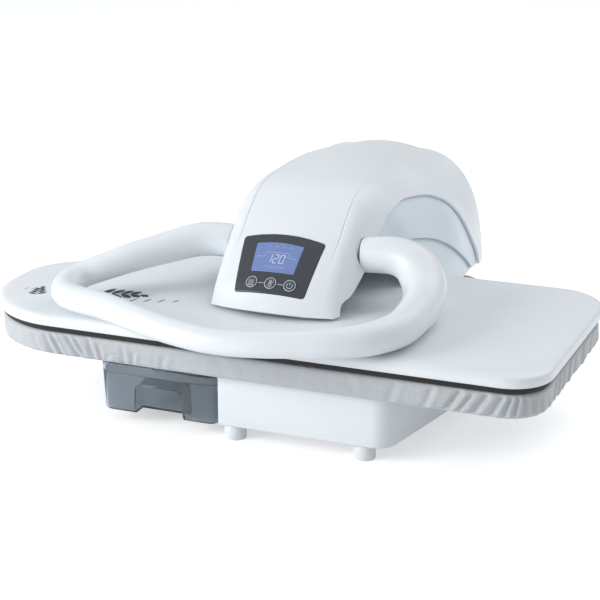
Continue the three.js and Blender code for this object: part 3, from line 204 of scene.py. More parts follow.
white_gloss = finish_with("white_gloss_moulding", "#e9eef2", 0.36, relief=0.012, grain=3.0)
base_front, base_rear, base_side = 15.6, 432, 184
base_wall, base_top = 2.8, 72.0
bay_x, bay_y = -30.6, 177.6
# (x, y, radius) of each corner
base_corners = [(bay_x, base_front, 3), (152, base_front, 22), (base_side, 150, 105), (base_side, 310, 105),
                (128, base_rear, 22), (-128, base_rear, 22), (-base_side, 310, 105),
                (-base_side, bay_y, 12), (bay_x, bay_y, 3)]
# (inset, height), from the inside of the top down, round the lower edge and up
base_levels = [(base_wall, base_top - base_wall), (base_wall, 17.4), (2.3, 16.8), (1.5, 16.6), (0.7, 16.8),
               (0.2, 17.4), (0, 18.4), (0, 71.2), (0.2, 71.8), (0.8, base_top)]
base_box = stacked("base_box", base_corners, base_levels)
fit(base_box, "base", white_gloss, ["base_shell"])


# The feet: four white plastic posts fixed under the base, each with a chamfered
# rim and a recess below that holds a round rubber pad.
def circle(x, y, radius, sides):
    turns = [2 * math.pi * k / sides for k in range(sides)]
    return [(x + radius * math.cos(turn), y + radius * math.sin(turn)) for turn in turns]


def turned(name, x, y, profile):
    return skin(name, [[(*spot, z) for spot in circle(x, y, radius, 64)] for radius, z in profile])


foot_places = {"front_left": (-16.6, 29.6), "front_right": (124, 29.6),
               "rear_left": (-128, 390), "rear_right": (128, 390)}
# (radius, height), from the recess out round the rim and up
foot_profile = [(8.8, 2.2), (8.8, 0.3), (9.1, 0), (10.6, 0), (11.2, 0.3), (11.5, 0.9),
                (11.5, 15.6), (11.3, 16.1), (10.9, 16.3)]
for side, (x, y) in foot_places.items():
    post = turned("foot_post_" + side, x, y, foot_profile)
    fit(post, "base", white_gloss, ["foot_" + side])


# The inner works and the foot pads: pressed and turned steel, brass fittings,
# circuit boards, felt, rubber and white mouldings. They stay as the CAD has them,
# and dress gives each of them its material's finish.
def dress(material, *names):
    for name in names:
        for slot in nodes[name].material_slots:
            slot.material = material


rubber = finish_with("moulded_rubber", "#232427", 0.8, mottle=0.12, cloud=6, grain=0.6, relief=0.2)
zinc_steel = finish_with("zinc_plated_steel", "#aeb2b6", 0.36, metallic=1.0, mottle=0.08, cloud=9,
                         grain=2.0, relief=0.05)
ground_steel = finish_with("ground_steel", "#b9bcbf", 0.28, metallic=1.0, mottle=0.06, cloud=3,
                           grain=0.8, relief=0.08, stretch=(1, 14, 14))
brass = finish_with("turned_brass", "#b99a55", 0.34, metallic=1.0, mottle=0.06, cloud=5,
                    grain=0.9, relief=0.06, stretch=(1, 1, 12))
fibre_board = finish_with("coated_circuit_board", "#2f5a3c", 0.5, mottle=0.2, cloud=2.5,
                          grain=0.7, relief=0.12)
inner_white = finish_with("inner_white_moulding", "#d9dcdf", 0.5, mottle=0.03, cloud=14,
                          grain=1.0, relief=0.06)
felt_buff = finish_with("pressed_felt_sheet", "#b9ac8c", 0.95, mottle=0.12, cloud=3,
                        grain=0.5, relief=0.5)
dress(rubber, "foot_pad_front_left", "foot_pad_front_right", "foot_pad_rear_left", "foot_pad_rear_right")
dress(rubber, "feed_hose", "cord_gland")
dress(zinc_steel, "base_plate", "board_panel", "tank_rail_left", "tank_rail_right", "link_anchor")
dress(zinc_steel, "hinge_bracket_left", "hinge_bracket_right", "lever_arm", "plate_bracket", "steam_chamber")
dress(ground_steel, "hinge_axle", "pivot_pin", "handle_shaft", "handle_crank", "pressure_link")
dress(ground_steel, "lift_spring_left", "lift_spring_right", "heating_element")
dress(brass, "steam_inlet", "thermostat")
dress(fibre_board, "power_board", "control_board")
dress(inner_white, "water_pump", "valve_socket", "thermal_fuse")
dress(felt_buff, "insulation_sheet")


# The pad: a slab of grey felt on the board panel, its edges rounded over by
# the cloth that is pulled round it. It only shows where the cover is taken off.
plate_half = plate_length / 2
plate_depth = 291.0
plate_heart = 145.0
nose_radius = 105.0
plate_corners = [(-plate_half, 0, nose_radius), (306, 0, 45), (plate_half, plate_depth, 55),
                 (-129, plate_depth, 400), (-plate_half, 164, 70)]
grey_felt = finish_with("grey_needled_felt", "#8d9196", 0.95, mottle=0.15, cloud=4, grain=0.8, relief=0.6)
pad_levels = [(12, 76.6), (8.6, 76.9), (7.5, 78.6), (7.3, 84), (7.3, 89), (7.6, 93), (9, 95.4), (13, 96.2)]
pad_felt = stacked("pad_felt", plate_corners, pad_levels, step=5)
fit(pad_felt, "base", grey_felt, ["pad_foam"])


# The cover: silver-grey coated cloth, flat over the pad, pulled down round its
# edge and gathered under the board by a drawcord in the hem. The cloth is tight
# along the front and puckers into leaning folds at the nose and the corners.
cloth_step = 1.7
cloth_thickness = 1.1
cover_inset = 3.2
cover_top = 98.0
cover_bottom = 73.2
nose_arc = nose_radius * math.pi / 2
fold_depth_share = 1.35
dimple_place = -141
tight_from, tight_to = -70, 190
tight_share = 0.3
folds = [
    # (place along the front in mm, lean from top to bottom, width, depth, top share, bottom share)
    (-236, 8, 3.4, 1.1, 0.15, 1.0), (-219, 11, 3.0, 1.5, 0.05, 1.0), (-209, 14, 2.6, 2.0, 0.05, 1.0),
    (-190, 17, 3.0, 2.3, 0.0, 1.0), (-181, 15, 2.4, 1.5, 0.1, 0.8), (-168, 9, 2.8, 1.6, 0.0, 1.0),
    (-158, 5, 2.2, 1.2, 0.2, 1.0), (-131, 3, 2.4, 1.1, 0.1, 1.0), (-119, -3, 2.2, 1.3, 0.35, 1.0),
    (-84, -9, 3.6, 0.8, 0.3, 1.0), (-20, 12, 6.0, 0.45, 0.0, 0.9), (60, -14, 7.0, 0.45, 0.1, 1.0),
    (118, 10, 5.0, 0.6, 0.0, 0.8), (160, -8, 4.0, 0.9, 0.05, 0.9), (196, -10, 3.4, 1.5, 0.0, 1.0),
    (221, -16, 3.6, 2.7, 0.0, 1.0), (233, -17, 2.6, 1.8, 0.1, 1.0), (247, -16, 3.4, 2.7, 0.0, 1.0),
    (263, -13, 2.8, 2.2, 0.0, 1.0), (274, -9, 2.4, 1.7, 0.05, 1.0), (283, -5, 2.2, 1.9, 0.0, 1.0),
    (293, -1, 2.4, 1.6, 0.1, 1.0), (303, 2, 2.2, 1.6, 0.15, 1.0), (314, 4, 2.4, 1.3, 0.2, 1.0),
    (330, 5, 2.6, 1.0, 0.3, 1.0), (352, -5, 2.8, 1.2, 0.1, 1.0), (368, -7, 2.6, 1.4, 0.0, 1.0),
    (386, -8, 2.4, 1.2, 0.1, 1.0), (407, -8, 2.6, 1.3, 0.0, 1.0), (431, -6, 2.6, 1.1, 0.1, 1.0),
    (462, -7, 3.0, 1.2, 0.0, 1.0), (497, -5, 3.2, 1.0, 0.1, 1.0), (533, -4, 3.0, 1.1, 0.0, 1.0),
]


def along_front(place):
    return nose_arc + (plate_half - nose_radius) + place


def walk_round(corners, spacing):
    fine = [Vector(point) for point in rounded_outline(corners, 0, 1.0)]
    lengths = [0.0]
    for k, point in enumerate(fine):
        lengths.append(lengths[-1] + (fine[(k + 1) % len(fine)] - point).length)
    count = round(lengths[-1] / spacing)
    stations, k = [], 0
    for i in range(count):
        place = lengths[-1] * i / count
        while lengths[k + 1] < place:
            k += 1
        share = (place - lengths[k]) / max(lengths[k + 1] - lengths[k], 1e-9)
        stations.append((place, fine[k].lerp(fine[(k + 1) % len(fine)], share)))
    walked = []
    for i, (place, point) in enumerate(stations):
        along = (stations[(i + 1) % count][1] - stations[i - 1][1]).normalized()
        walked.append((place, point, Vector((along.y, -along.x))))
    return walked


def clamped(value):
    return min(max(value, 0), 1)


def hump(off, width):
    return math.exp(-(off / width) ** 2)


def tuck(place, down):
    depth = 0.0
    for front, lean, width, deep, top, bottom in folds:
        off = place - along_front(front) - lean * (down - 0.5)
        if abs(off) < 4 * width:
            fade = clamped((down - top) / 0.2) * clamped((bottom - down) / 0.12 + 1)
            shape = hump(off, width) - 0.5 * hump(off - 1.9 * width, width)
            depth += fold_depth_share * deep * fade * shape
    dimple_x = place - along_front(dimple_place)
    dimple_z = (1.0 - down) * 25
    reach = math.hypot(dimple_x / 1.1, dimple_z - 1)
    depth += 1.2 * hump(reach - 8, 1.5) - 0.7 * hump(reach - 4, 3)
    return depth


def pucker(place, down):
    loose = 0.35 + 0.65 * min(1, abs(noise.noise(Vector((place / 90, 3.1, 0))) * 2.2))
    if along_front(tight_from) < place < along_front(tight_to):
        loose *= tight_share
    ripple = noise.noise(Vector((place / 6.5, down * 0.9, 7.7)))
    wide = noise.noise(Vector((place / 21 + down * 0.8, down * 0.7, 1.3)))
    small = noise.noise(Vector((place / 2.6, down * 3.2, 4.9)))
    return loose * (2.0 * ripple * down ** 1.4 + 1.2 * wide * (0.3 + down)) + 0.3 * small


def cover_face(stations):
    spine = 150.0
    edge_inset = cover_inset + 5.5
    rows = []
    for share in (0.3, 0.45, 0.6, 0.75, 0.86, 0.93, 0.97):
        row = []
        for place, point, out in stations:
            edge = point - out * edge_inset
            heart = Vector((min(max(edge.x, -spine), spine), plate_heart))
            spot = heart.lerp(edge, share)
            dent = 0.45 * noise.noise(Vector((spot.x / 24, spot.y / 17, 2.0))) * min(1, (share - 0.3) / 0.3)
            row.append((spot.x, spot.y, cover_top - 0.45 + dent))
        rows.append(row)
    return rows


def cover_skirt(stations):
    height = cover_top - cover_bottom
    # (inset, drop, share of the way down)
    shoulder = [(5.5, -0.1, 0), (3.6, -0.5, 0.0), (2.2, -1.1, 0.04), (1.2, -2.0, 0.08), (0.5, -3.2, 0.13),
                (0.1, -4.6, 0.18)]
    side = [(0.0, -height * share, share) for share in ((23 + 5 * k) / 100 for k in range(14))]
    hem = [(0.35, -height * 0.925, 0.925), (0.9, -height * 0.965, 0.965), (1.9, -height * 0.99, 0.99),
           (3.2, -height, 1.0), (5.0, -height + 0.1, 1.0), (7.5, -height + 0.2, 1.0),
           (10.5, -height + 0.1, 1.0)]
    rows = []
    for inset, drop, down in shoulder + side + hem:
        row = []
        for place, point, out in stations:
            depth = (tuck(place, down) + pucker(place, down)) * min(1, 6 * down)
            spot = point - out * (cover_inset + inset + max(depth, -1.4) + 0.6)
            sag = 0.5 * noise.noise(Vector((place / 8.0, 0.4, 9.1))) * (down > 0.9)
            row.append((spot.x, spot.y, cover_top + drop + sag))
        rows.append(row)
    return rows


def cover_cloth():
    stations = walk_round(plate_corners, cloth_step)
    cover = skin("pad_cover_cloth", cover_face(stations) + cover_skirt(stations), caps=False)
    sewn = bmesh.new()
    sewn.from_mesh(cover.data)
    sewn.verts.ensure_lookup_table()
    sewn.faces.new([sewn.verts[k] for k in reversed(range(len(stations)))])
    sewn.to_mesh(cover.data)
    sewn.free()
    cover.data.flip_normals()
    return cover


def settle(piece):
    graph = bpy.context.evaluated_depsgraph_get()
    flat_mesh = bpy.data.meshes.new_from_object(piece.evaluated_get(graph))
    piece.modifiers.clear()
    piece.data = flat_mesh
    return piece


def thicken(piece, thickness):
    wall = piece.modifiers.new("wall", "SOLIDIFY")
    wall.thickness = thickness / 1000
    wall.offset = -1
    return settle(piece)


def cloth_finish():
    material = finish_with("silver_coated_cloth", "#bbbfc3", 0.58, mottle=0.07, cloud=7, grain=0.9,
                           relief=0.25)
    tree = material.node_tree
    link = tree.links.new
    shader = tree.nodes["Principled BSDF"]
    place = node_in(tree, "TexCoord")
    weave = None
    for direction in ("X", "Y", "Z"):
        thread = node_in(tree, "TexWave", Scale=210, Distortion=0.6)
        thread.bands_direction = direction
        link(place.outputs["Object"], thread.inputs["Vector"])
        if weave is None:
            weave = thread.outputs["Fac"]
            continue
        crossing = node_in(tree, "Math")
        crossing.operation = "MULTIPLY"
        link(weave, crossing.inputs[0])
        link(thread.outputs["Fac"], crossing.inputs[1])
        weave = crossing.outputs[0]
    grain_bump = next(node for node in tree.nodes if node.type == "BUMP")
    thread_bump = node_in(tree, "Bump", Strength=0.15, Distance=0.0004)
    link(weave, thread_bump.inputs["Height"])
    link(grain_bump.outputs["Normal"], thread_bump.inputs["Normal"])
    link(thread_bump.outputs["Normal"], shader.inputs["Normal"])
    set_inputs(shader, Sheen_Weight=0.15)
    return material


silver_cloth = cloth_finish()
pad_cover = thicken(cover_cloth(), cloth_thickness)
fit(pad_cover, "base", silver_cloth, ["pad_cover"], crisp=180)


# The heated plate: a cast aluminium sole with a black non-stick face and fifteen
# steam holes, under a thin black carrier ring whose lip holds the casing. The ring's
# black band between the sole and the casing is partly painted shade for the gap there.
def cut_sheet(name, outlines, bottom, top, ease):
    curve = bpy.data.curves.new(name, "CURVE")
    curve.dimensions = "2D"
    curve.fill_mode = "BOTH"
    for outline in outlines:
        spline = curve.splines.new("POLY")
        spline.points.add(len(outline) - 1)
        for point, (x, y) in zip(spline.points, outline):
            place = press_at(x, y, 0)
            point.co = (place.x, place.y, 0, 1)
        spline.use_cyclic_u = True
    curve.bevel_depth = ease / 1000
    curve.bevel_resolution = 2
    curve.offset = -ease / 1000
    curve.extrude = (top - bottom) / 2000 - ease / 1000
    drawn = placed(name, curve)
    graph = bpy.context.evaluated_depsgraph_get()
    mesh = bpy.data.meshes.new_from_object(drawn.evaluated_get(graph))
    bpy.data.objects.remove(drawn)
    mesh.transform(Matrix.Translation((0, 0, (bottom + top) / 2000)))
    return placed(name, mesh)


nonstick = finish_with("black_nonstick_coat", "#0d0e0f", 0.6, mottle=0.25, cloud=2.0, grain=0.5, relief=0.12)
hole_radius = 2.0
holes_length, holes_depth = 225.0, 67.5
hole_xs = [holes_length * (i / 4 - 0.5) for i in range(5)]
hole_ys = [plate_heart + holes_depth * (j / 2 - 0.5) for j in range(3)]
steam_holes = [circle(x, y, hole_radius, 28) for x in hole_xs for y in hole_ys]
sole_bottom, sole_top = 98.4, 103.0
ring_bottom, ring_top = 103.3, 104.6
lip_bottom, lip_top = 104.4, 109.3


def plate_ring(name, insets, bottom, top):
    outlines = [rounded_outline(plate_corners, inset) for inset in insets]
    return cut_sheet(name, outlines, bottom, top, 0.3)


sole_outlines = [rounded_outline(plate_corners, 4.5)] + steam_holes
sole = cut_sheet("sole_casting", sole_outlines, sole_bottom, sole_top, 0.5)
fit(sole, "plate", nonstick, ["sole_plate"])
# The carrier ring is a real black part. Its visible band also serves as painted shade for the shadowed gap
# under the casing's edge.
carrier_ring_painted_shade = plate_ring("carrier_ring_painted_shade", (1.5, 12.5), ring_bottom, ring_top)
fit(carrier_ring_painted_shade, "plate", nonstick, ["plate_carrier"])
carrier_lip = plate_ring("carrier_lip", (3.1, 5.6), lip_bottom, lip_top)
fit(carrier_lip, "plate", nonstick)


# The plate's casing: a white gloss lid moulded with a soft shoulder all round,
# hollow below, clipped over the carrier's lip.
# (inset, height), from the inside of the top down, round the lower edge and up
casing_levels = [(7.5, 114.4), (2.6, 111.9), (2.5, 105.6), (2.2, 105.0), (1.4, 104.9), (0.8, 105.1),
                 (0.3, 105.6), (0, 106.6), (0, 111.4), (0.25, 112.7), (0.9, 114.0), (1.9, 115.0),
                 (3.2, 115.8), (5.2, 116.4), (8, 116.8), (11.5, 117.0), (16, 117.0)]
casing = stacked("casing_lid", plate_corners, casing_levels, step=2)
fit(casing, "plate", white_gloss, ["plate_casing"], crisp=60)


# The print on the casing: two sprigs of plain leaves with a short spray of dashes
# beside each, pad-printed in charcoal ink, which lies a hair above the gloss.
ink = finish_with("charcoal_print", "#3d3f45", 0.55, mottle=0.1, cloud=3, grain=0.5, relief=0.05)
print_height = 117.08
leaf_steps = 9
leaf_pairs = 4


def leaf(x, y, length, width, turn):
    along = Vector((math.cos(turn), math.sin(turn)))
    across = Vector((-along.y, along.x))
    base = Vector((x, y))
    right, left = [], []
    for k in range(leaf_steps + 1):
        spine = base + along * length * k / leaf_steps
        belly = math.sin(math.pi * k / leaf_steps)
        right.append(spine + across * width * belly ** 0.8)
        left.append(spine - across * width * 0.7 * belly ** 1.3)
    return right + left[-2:0:-1]


def printed(name, shapes):
    points, faces = [], []
    for shape in shapes:
        faces.append(tuple(range(len(points), len(points) + len(shape))))
        points += [(x, y, print_height) for x, y in shape]
    fit(meshed(name, points, faces, closed=False), "plate", ink)


def sprig(x, y, size, turn):
    shapes = []
    stem = Vector((math.cos(turn), math.sin(turn)))
    for k in range(leaf_pairs + 1):
        spot = Vector((x, y)) + stem * size * (0.16 * k)
        for side in (-1, 1) if k < leaf_pairs else (-1,):
            opening = side * (1.0 - 0.1 * k)
            shapes.append(leaf(spot.x, spot.y, size * (0.36 - 0.04 * k), size * 0.075, turn + opening))
    shapes.append(leaf(x, y, size * 0.92, size * 0.008, turn))
    return shapes


def dashes(x, y, size, turn, count):
    shapes = []
    for k in range(count):
        away = size * 0.45 * k
        shapes.append(leaf(x + away * math.cos(turn), y + away * math.sin(turn), size * (0.5 - 0.06 * k),
                           size * 0.035, turn + 0.9))
    return shapes


printed("sprig_print_middle", sprig(-196, 84, 64, 0.3) + dashes(-158, 68, 36, 0.35, 4))
printed("sprig_print_left", sprig(-262, 58, 34, 1.9) + dashes(-284, 68, 16, 0.3, 3))


# The lever head: one white gloss shell, 3 mm thick, moulded as an arch over the
# plate with a crease along each side of its crown. Each flank is cut away in an
# arc, and holes are left for the control panel and the handle's hubs.
head_front = 73.4
head_length = 416.6
head_bottom = 120.0
head_rise = 118.5
head_crown = 8.0
head_crease = 55.0
head_side = 138.0
front_bow, bow_length = 9, 120
shell_wall = 3.0
flat_lip_to = 100        # how far back the front lip is flat below
groove_depth = 1.3
groove_share = 0.978
groove_front, groove_rear, groove_fade = 118, 352, 30
head_profile_shares = [
    # (along, top height, crown drop, crease, side, rim drop, fullness)
    (0, 0.03, 0.32, 0.95, 0.496, 0, 2), (0.016, 0.1, 0.32, 0.96, 0.513, 0, 2),
    (0.045, 0.228, 0.3, 0.98, 0.539, 0, 2.05), (0.083, 0.366, 0.3, 0.99, 0.561, 0, 2.1),
    (0.124, 0.497, 0.29, 1, 0.579, 0, 2.15), (0.165, 0.604, 0.27, 1, 0.597, 0, 2.2),
    (0.208, 0.727, 0.25, 1, 0.616, 0, 2.2), (0.28, 0.887, 0.25, 1, 0.668, 0, 1.9),
    (0.34, 0.949, 0.34, 1, 0.738, 0.01, 1.65), (0.4, 0.977, 0.49, 1, 0.87, 0.025, 1.45),
    (0.46, 0.992, 0.65, 1, 0.947, 0.042, 1.3), (0.544, 1, 0.78, 1, 0.983, 0.084, 1.3),
    (0.68, 0.98, 1, 1, 1, 0.169, 1.6), (0.81, 0.941, 1, 0.93, 0.986, 0.236, 1.6),
    (0.906, 0.899, 0.9, 0.82, 0.95, 0.27, 1.9), (0.96, 0.852, 0.65, 0.76, 0.9, 0.287, 2.3),
    (0.989, 0.716, 0.45, 0.74, 0.876, 0.295, 2.4), (1, 0.443, 0.33, 0.74, 0.867, 0.295, 2.3),
    (1, -0.154, 0.25, 0.74, 0.867, 0.295, 2.2),
]
# (y, z) of the arc that each flank is cut to, from the front round to the back
opening_edge = [(97, 49), (97.6, 90), (98, 110), (98.7, 121.5), (102, 129), (108, 132.8), (121.7, 136.2),
                (135, 143), (146, 149.5), (157, 158), (169, 169.9), (181, 180.5), (191, 186.5),
                (201, 190.6), (219, 198.3), (235.5, 203.3), (254, 204.6), (272.5, 204.3), (304, 200.7),
                (328, 196.9), (346, 190.2), (368, 178.7), (386.5, 162.9), (397.5, 145.5), (406, 126.9),
                (419, 104.6), (425, 84)]


def smooth_between(rows, place):
    last = len(rows) - 1
    low = min(int(place), last - 1)
    t = place - low
    four = (rows[min(max(low + k, 0), last)] for k in (-1, 0, 1, 2))
    values = []
    for a, b, c, d in zip(*four):
        slope = (c - a) * t
        curve = (2 * a - 5 * b + 4 * c - d) * t * t
        twist = (3 * b - a - 3 * c + d) * t ** 3
        values.append(0.5 * (2 * b + slope + curve + twist))
    return values


def head_row(place):
    along, top, crown, crease, side, drop, fullness = smooth_between(head_profile_shares, place)
    return {"y": head_front + head_length * min(along, 1.0), "top": head_bottom + head_rise * min(top, 1.0),
            "crown": head_crown * crown, "crease": head_crease * crease, "side": head_side * min(side, 1.0),
            "rim": head_bottom - head_rise * drop, "fullness": fullness}


def head_point(row, share, sign):
    crease_z = row["top"] - row["crown"]
    if share <= 1:
        x, z = row["crease"] * share, row["top"] - row["crown"] * share * share
    else:
        angle = (share - 1) * math.pi / 2
        x = row["crease"] + (row["side"] - row["crease"]) * math.sin(angle) ** (2 / row["fullness"])
        z = row["rim"] + (crease_z - row["rim"]) * max(math.cos(angle), 0) ** (2 / row["fullness"])
    bow = front_bow * (x / head_crease) ** 2 * max(0, 1 - (row["y"] - head_front) / bow_length)
    return Vector((sign * x, row["y"] + bow, z))


def part_up(row, z):
    return clamped((z - row["rim"]) / (row["top"] - row["crown"] - row["rim"]))


def share_at(row, z):
    return 1 + math.acos(part_up(row, z) ** (row["fullness"] / 2)) * 2 / math.pi


def height_on(line, y):
    if y <= line[0][0] or y >= line[-1][0]:
        return 0.0
    low = next(k for k in range(len(line) - 1) if line[k + 1][0] > y)
    (y0, z0), (y1, z1) = line[low], line[low + 1]
    return z0 + (z1 - z0) * (y - y0) / (y1 - y0)


def eased_line(line):
    return [smooth_between(line, k / 6) for k in range(6 * (len(line) - 1) + 1)]


def crease_depth(y):
    return groove_depth * clamped((y - groove_front) / groove_fade) * clamped((groove_rear - y) / groove_fade)


# The bow moves a point back, so the height of the edge there is looked up again.
def head_grid(places, edge, crown_steps, flank_steps, creased=False):
    grid = []
    for place in places:
        row = head_row(place)
        y = row["y"]
        for _ in range(3):
            last = share_at(row, max(height_on(edge, y), row["rim"]))
            y = head_point(row, last, 1).y
        shares = [k / crown_steps for k in range(crown_steps)] + [groove_share] * creased + [1.0]
        shares += [1 + (last - 1) * k / flank_steps for k in range(1, flank_steps + 1)]
        line = [head_point(row, share, -1) for share in reversed(shares[1:])]
        line += [head_point(row, share, 1) for share in shares]
        if creased:
            for point in (line[flank_steps], line[-1 - flank_steps]):
                point.z -= crease_depth(point.y)
        grid.append(line)
    return grid


def moved_in(grid, inset):
    moved = []
    last_row, last_point = len(grid) - 1, len(grid[0]) - 1
    for i, row in enumerate(grid):
        line = []
        for j, point in enumerate(row):
            along = grid[min(i + 1, last_row)][j] - grid[max(i - 1, 0)][j]
            across = row[min(j + 1, last_point)] - row[max(j - 1, 0)]
            out = across.cross(along)
            line.append(point - out.normalized() * inset if out.length > 1e-6 else point.copy())
        moved.append(line)
    return moved


def walled(name, outer, inner):
    height, width = len(outer), len(outer[0])
    back = height * width
    faces = []
    for i in range(height - 1):
        for j in range(width - 1):
            a = i * width + j
            faces.append((a, a + 1, a + 1 + width, a + width))
            faces.append((back + a + width, back + a + 1 + width, back + a + 1, back + a))
    rim = list(range(width)) + [i * width + width - 1 for i in range(1, height)]
    rim += [(height - 1) * width + j for j in range(width - 2, -1, -1)]
    rim += [i * width for i in range(height - 2, 0, -1)]
    for k, a in enumerate(rim):
        b = rim[(k + 1) % len(rim)]
        faces.append((b, a, back + a, back + b))
    return meshed(name, [point for row in outer + inner for point in row], faces, closed=True)


def ease_edges(piece, width, angle=50):
    ease = piece.modifiers.new("eased_edges", "BEVEL")
    ease.width = width / 1000
    ease.segments = 3
    ease.limit_method = "ANGLE"
    ease.angle_limit = math.radians(angle)
    return settle(piece)


def carve(piece, tools, operation="DIFFERENCE"):
    for tool in tools:
        work = piece.modifiers.new("carve", "BOOLEAN")
        work.operation = operation
        work.solver = "EXACT"
        work.object = tool
        settle(piece)
        bpy.data.objects.remove(tool)
    return piece


def bar_along_x(name, x0, x1, y, z, radius, ease=0.0):
    ends = [(x0, radius - ease), (x0 + ease, radius), (x1 - ease, radius), (x1, radius - ease)]
    return skin(name, [[(x, *spot) for spot in circle(y, z, size, 72)] for x, size in ends])


close_spacing = 2.5


def closely(line):
    points = []
    for (x0, y0), (x1, y1) in zip(line, line[1:]):
        parts = max(1, round(math.dist((x0, y0), (x1, y1)) / close_spacing))
        points += [(x0 + (x1 - x0) * k / parts, y0 + (y1 - y0) * k / parts) for k in range(parts)]
    return points


def panel_outline(bottom_half, top_half, low, high, arch, radius, inset):
    corners = [(-bottom_half, low, radius), (bottom_half, low, radius), (top_half, high, radius),
               (0, high + arch, 4 * top_half), (-top_half, high, radius)]
    outline = rounded_outline(corners, inset, 4)
    return closely(outline + outline[:1])


hub_y, hub_z = 165.0, 168.0
hub_radius = 18.5
hub_gap = 0.7
panel_x = -3.0
panel_low = Vector((86.2, 139.55))
panel_high = Vector((134.0, 185.53))
panel_bottom_half, panel_top_half = 39, 46
panel_arch = 10
panel_corner = 4
panel_gap = 0.3
panel_slope = math.atan2(panel_high.y - panel_low.y, panel_high.x - panel_low.x)
panel_height = (panel_high - panel_low).length


def on_slope(u, t, lift):
    return Vector((panel_x + u, panel_low.x + t * math.cos(panel_slope) - lift * math.sin(panel_slope),
                   panel_low.y + t * math.sin(panel_slope) + lift * math.cos(panel_slope)))


def bezel_outline(inset):
    return panel_outline(panel_bottom_half, panel_top_half, 0, panel_height, panel_arch, panel_corner, inset)


def panel_tool():
    shape = bezel_outline(-panel_gap)
    return skin("panel_tool", [[on_slope(u, t, lift) for u, t in shape] for lift in (-12, 16)])


# places along head_profile_shares, closer together where the arc falls steeply at the back
shell_places = [k / 10 for k in range(131)]
shell_places += [13 + k / 20 for k in range(1, 17)]
shell_places += [13.9 + k / 10 for k in range(42)]
opening_line = eased_line(opening_edge)
shell_outer = head_grid(shell_places, opening_line, crown_steps=16, flank_steps=34, creased=True)
shell_inner = moved_in(shell_outer, shell_wall)
for outer_row, inner_row in zip(shell_outer, shell_inner):
    for outer_point, inner_point in zip(outer_row, inner_row):
        if outer_point.y < flat_lip_to:
            inner_point.z = max(inner_point.z, head_bottom + 0.2)
            outer_point.z = max(outer_point.z, head_bottom)
shell = walled("head_shell_moulding", shell_outer, shell_inner)
ease_edges(shell, 1.0)
hub_tool = bar_along_x("hub_tool", -150, 150, hub_y, hub_z, hub_radius + hub_gap)
carve(shell, [hub_tool, panel_tool()])
fit(shell, "head", white_gloss, ["head_shell"], crisp=28)


# The inner hoods, in pale blue-grey satin plastic: the upper one hangs from the
# lever arm inside the head, the lower one is in two halves that stand on the
# plate's casing. They slide past each other along a rounded parting line.
hood_grey = finish_with("pale_hood_moulding", "#dde7ef", 0.34, relief=0.015, grain=2.5)
hood_wall = 2.5
upper_inset, lower_inset = 3.6, 7.0
upper_front, upper_rear = 188, 428
lower_front, lower_rear = 222, 412
lower_seat, lower_hem = 117.4, 90.5
hood_overlap = 9
# (y, z) of the parting line, from the front to the back
parting_edge = [(upper_front, 167.4), (214, 169), (239, 168.7), (261, 166), (297, 156.3), (322.5, 143.9),
                (348.5, 127), (381, 105.2), (402.5, 90.4), (440, 90.3)]
parting_line = eased_line(parting_edge)
hood_full = head_grid([7 + k / 12 for k in range(83)], parting_line, crown_steps=10, flank_steps=30)
hood_full = [row for row in hood_full if upper_front <= row[len(row) // 2].y <= upper_rear]
hood_walls = [moved_in(hood_full, inset) for inset in (upper_inset, upper_inset + hood_wall)]
hood = walled("upper_hood_moulding", *hood_walls)
fit(ease_edges(hood, 0.8), "head", hood_grey, ["upper_hood"], crisp=30)


def flank_x(row, z):
    bulge = (1 - part_up(row, z) ** row["fullness"]) ** (1 / row["fullness"])
    return row["crease"] + (row["side"] - row["crease"]) * bulge


def saddle_grid(sign):
    grid = []
    for place in [7 + k / 16 for k in range(112)]:
        row = head_row(place)
        if lower_front <= row["y"] <= lower_rear:
            low = lower_seat if row["y"] < plate_depth + 0.7 else lower_hem
            high = max(height_on(parting_line, row["y"]) + hood_overlap, low + 4)
            heights = [low + (high - low) * k / 40 for k in range(41)]
            grid.append([Vector((sign * flank_x(row, z), row["y"], z)) for z in heights])
    return grid


for name, sign in (("left", -1), ("right", 1)):
    flank = saddle_grid(sign)
    saddle_walls = [moved_in(flank, -inset * sign) for inset in (lower_inset, lower_inset + hood_wall)]
    saddle = walled("lower_hood_" + name, *saddle_walls)
    fit(ease_edges(saddle, 0.8), "plate", hood_grey, ["plate_saddle_" + name], crisp=30)


# The control panel: a dark glossy bezel let into the shell with an eased rim, a
# blue display behind its window and three round keys in a row.
charcoal = finish_with("glossy_charcoal_bezel", "#43464b", 0.22, mottle=0.03, cloud=20, relief=0.01)
def on_panel(u, t, lift):
    x = abs(panel_x + u)
    low, high = 0.0, 8.0
    for _ in range(26):
        middle = (low + high) / 2
        row = head_row(middle)
        spot = head_point(row, min(x / row["crease"], 1), 1)
        ahead, up = spot.y - panel_low.x, spot.z - panel_low.y
        if ahead * math.cos(panel_slope) + up * math.sin(panel_slope) < t:
            low = middle
        else:
            high = middle
    return Vector((panel_x + u, spot.y - lift * math.sin(panel_slope), spot.z + lift * math.cos(panel_slope)))


# The levels are (inset, lift) of a piece's rim. Its face is then filled in towards
# the line from heart_low to heart_high.
def inlay(name, outline_at, levels, heart_low, heart_high, fills=(0.15, 0.32, 0.5, 0.68, 0.85, 0.97)):
    rows = [[on_panel(u, t, lift) for u, t in outline_at(inset)] for inset, lift in levels]
    inset, lift = levels[-1]
    for share in fills:
        rows.append([on_panel(u * (1 - share), t + (min(max(t, heart_low), heart_high) - t) * share, lift)
                     for u, t in outline_at(inset)])
    return skin(name, rows)


bezel_levels = [(0.1, -2.4), (0.1, -0.5), (0.3, -0.1), (0.7, 0.15), (1.3, 0.2), (2.4, 0.1), (3.4, 0.1)]
bezel = inlay("panel_bezel", bezel_outline, bezel_levels, 20, 45)
fit(bezel, "head", charcoal, ["control_panel"], crisp=60)

display_low = panel_height * 0.37
display_top = panel_height * 0.885
display_middle = -2.0


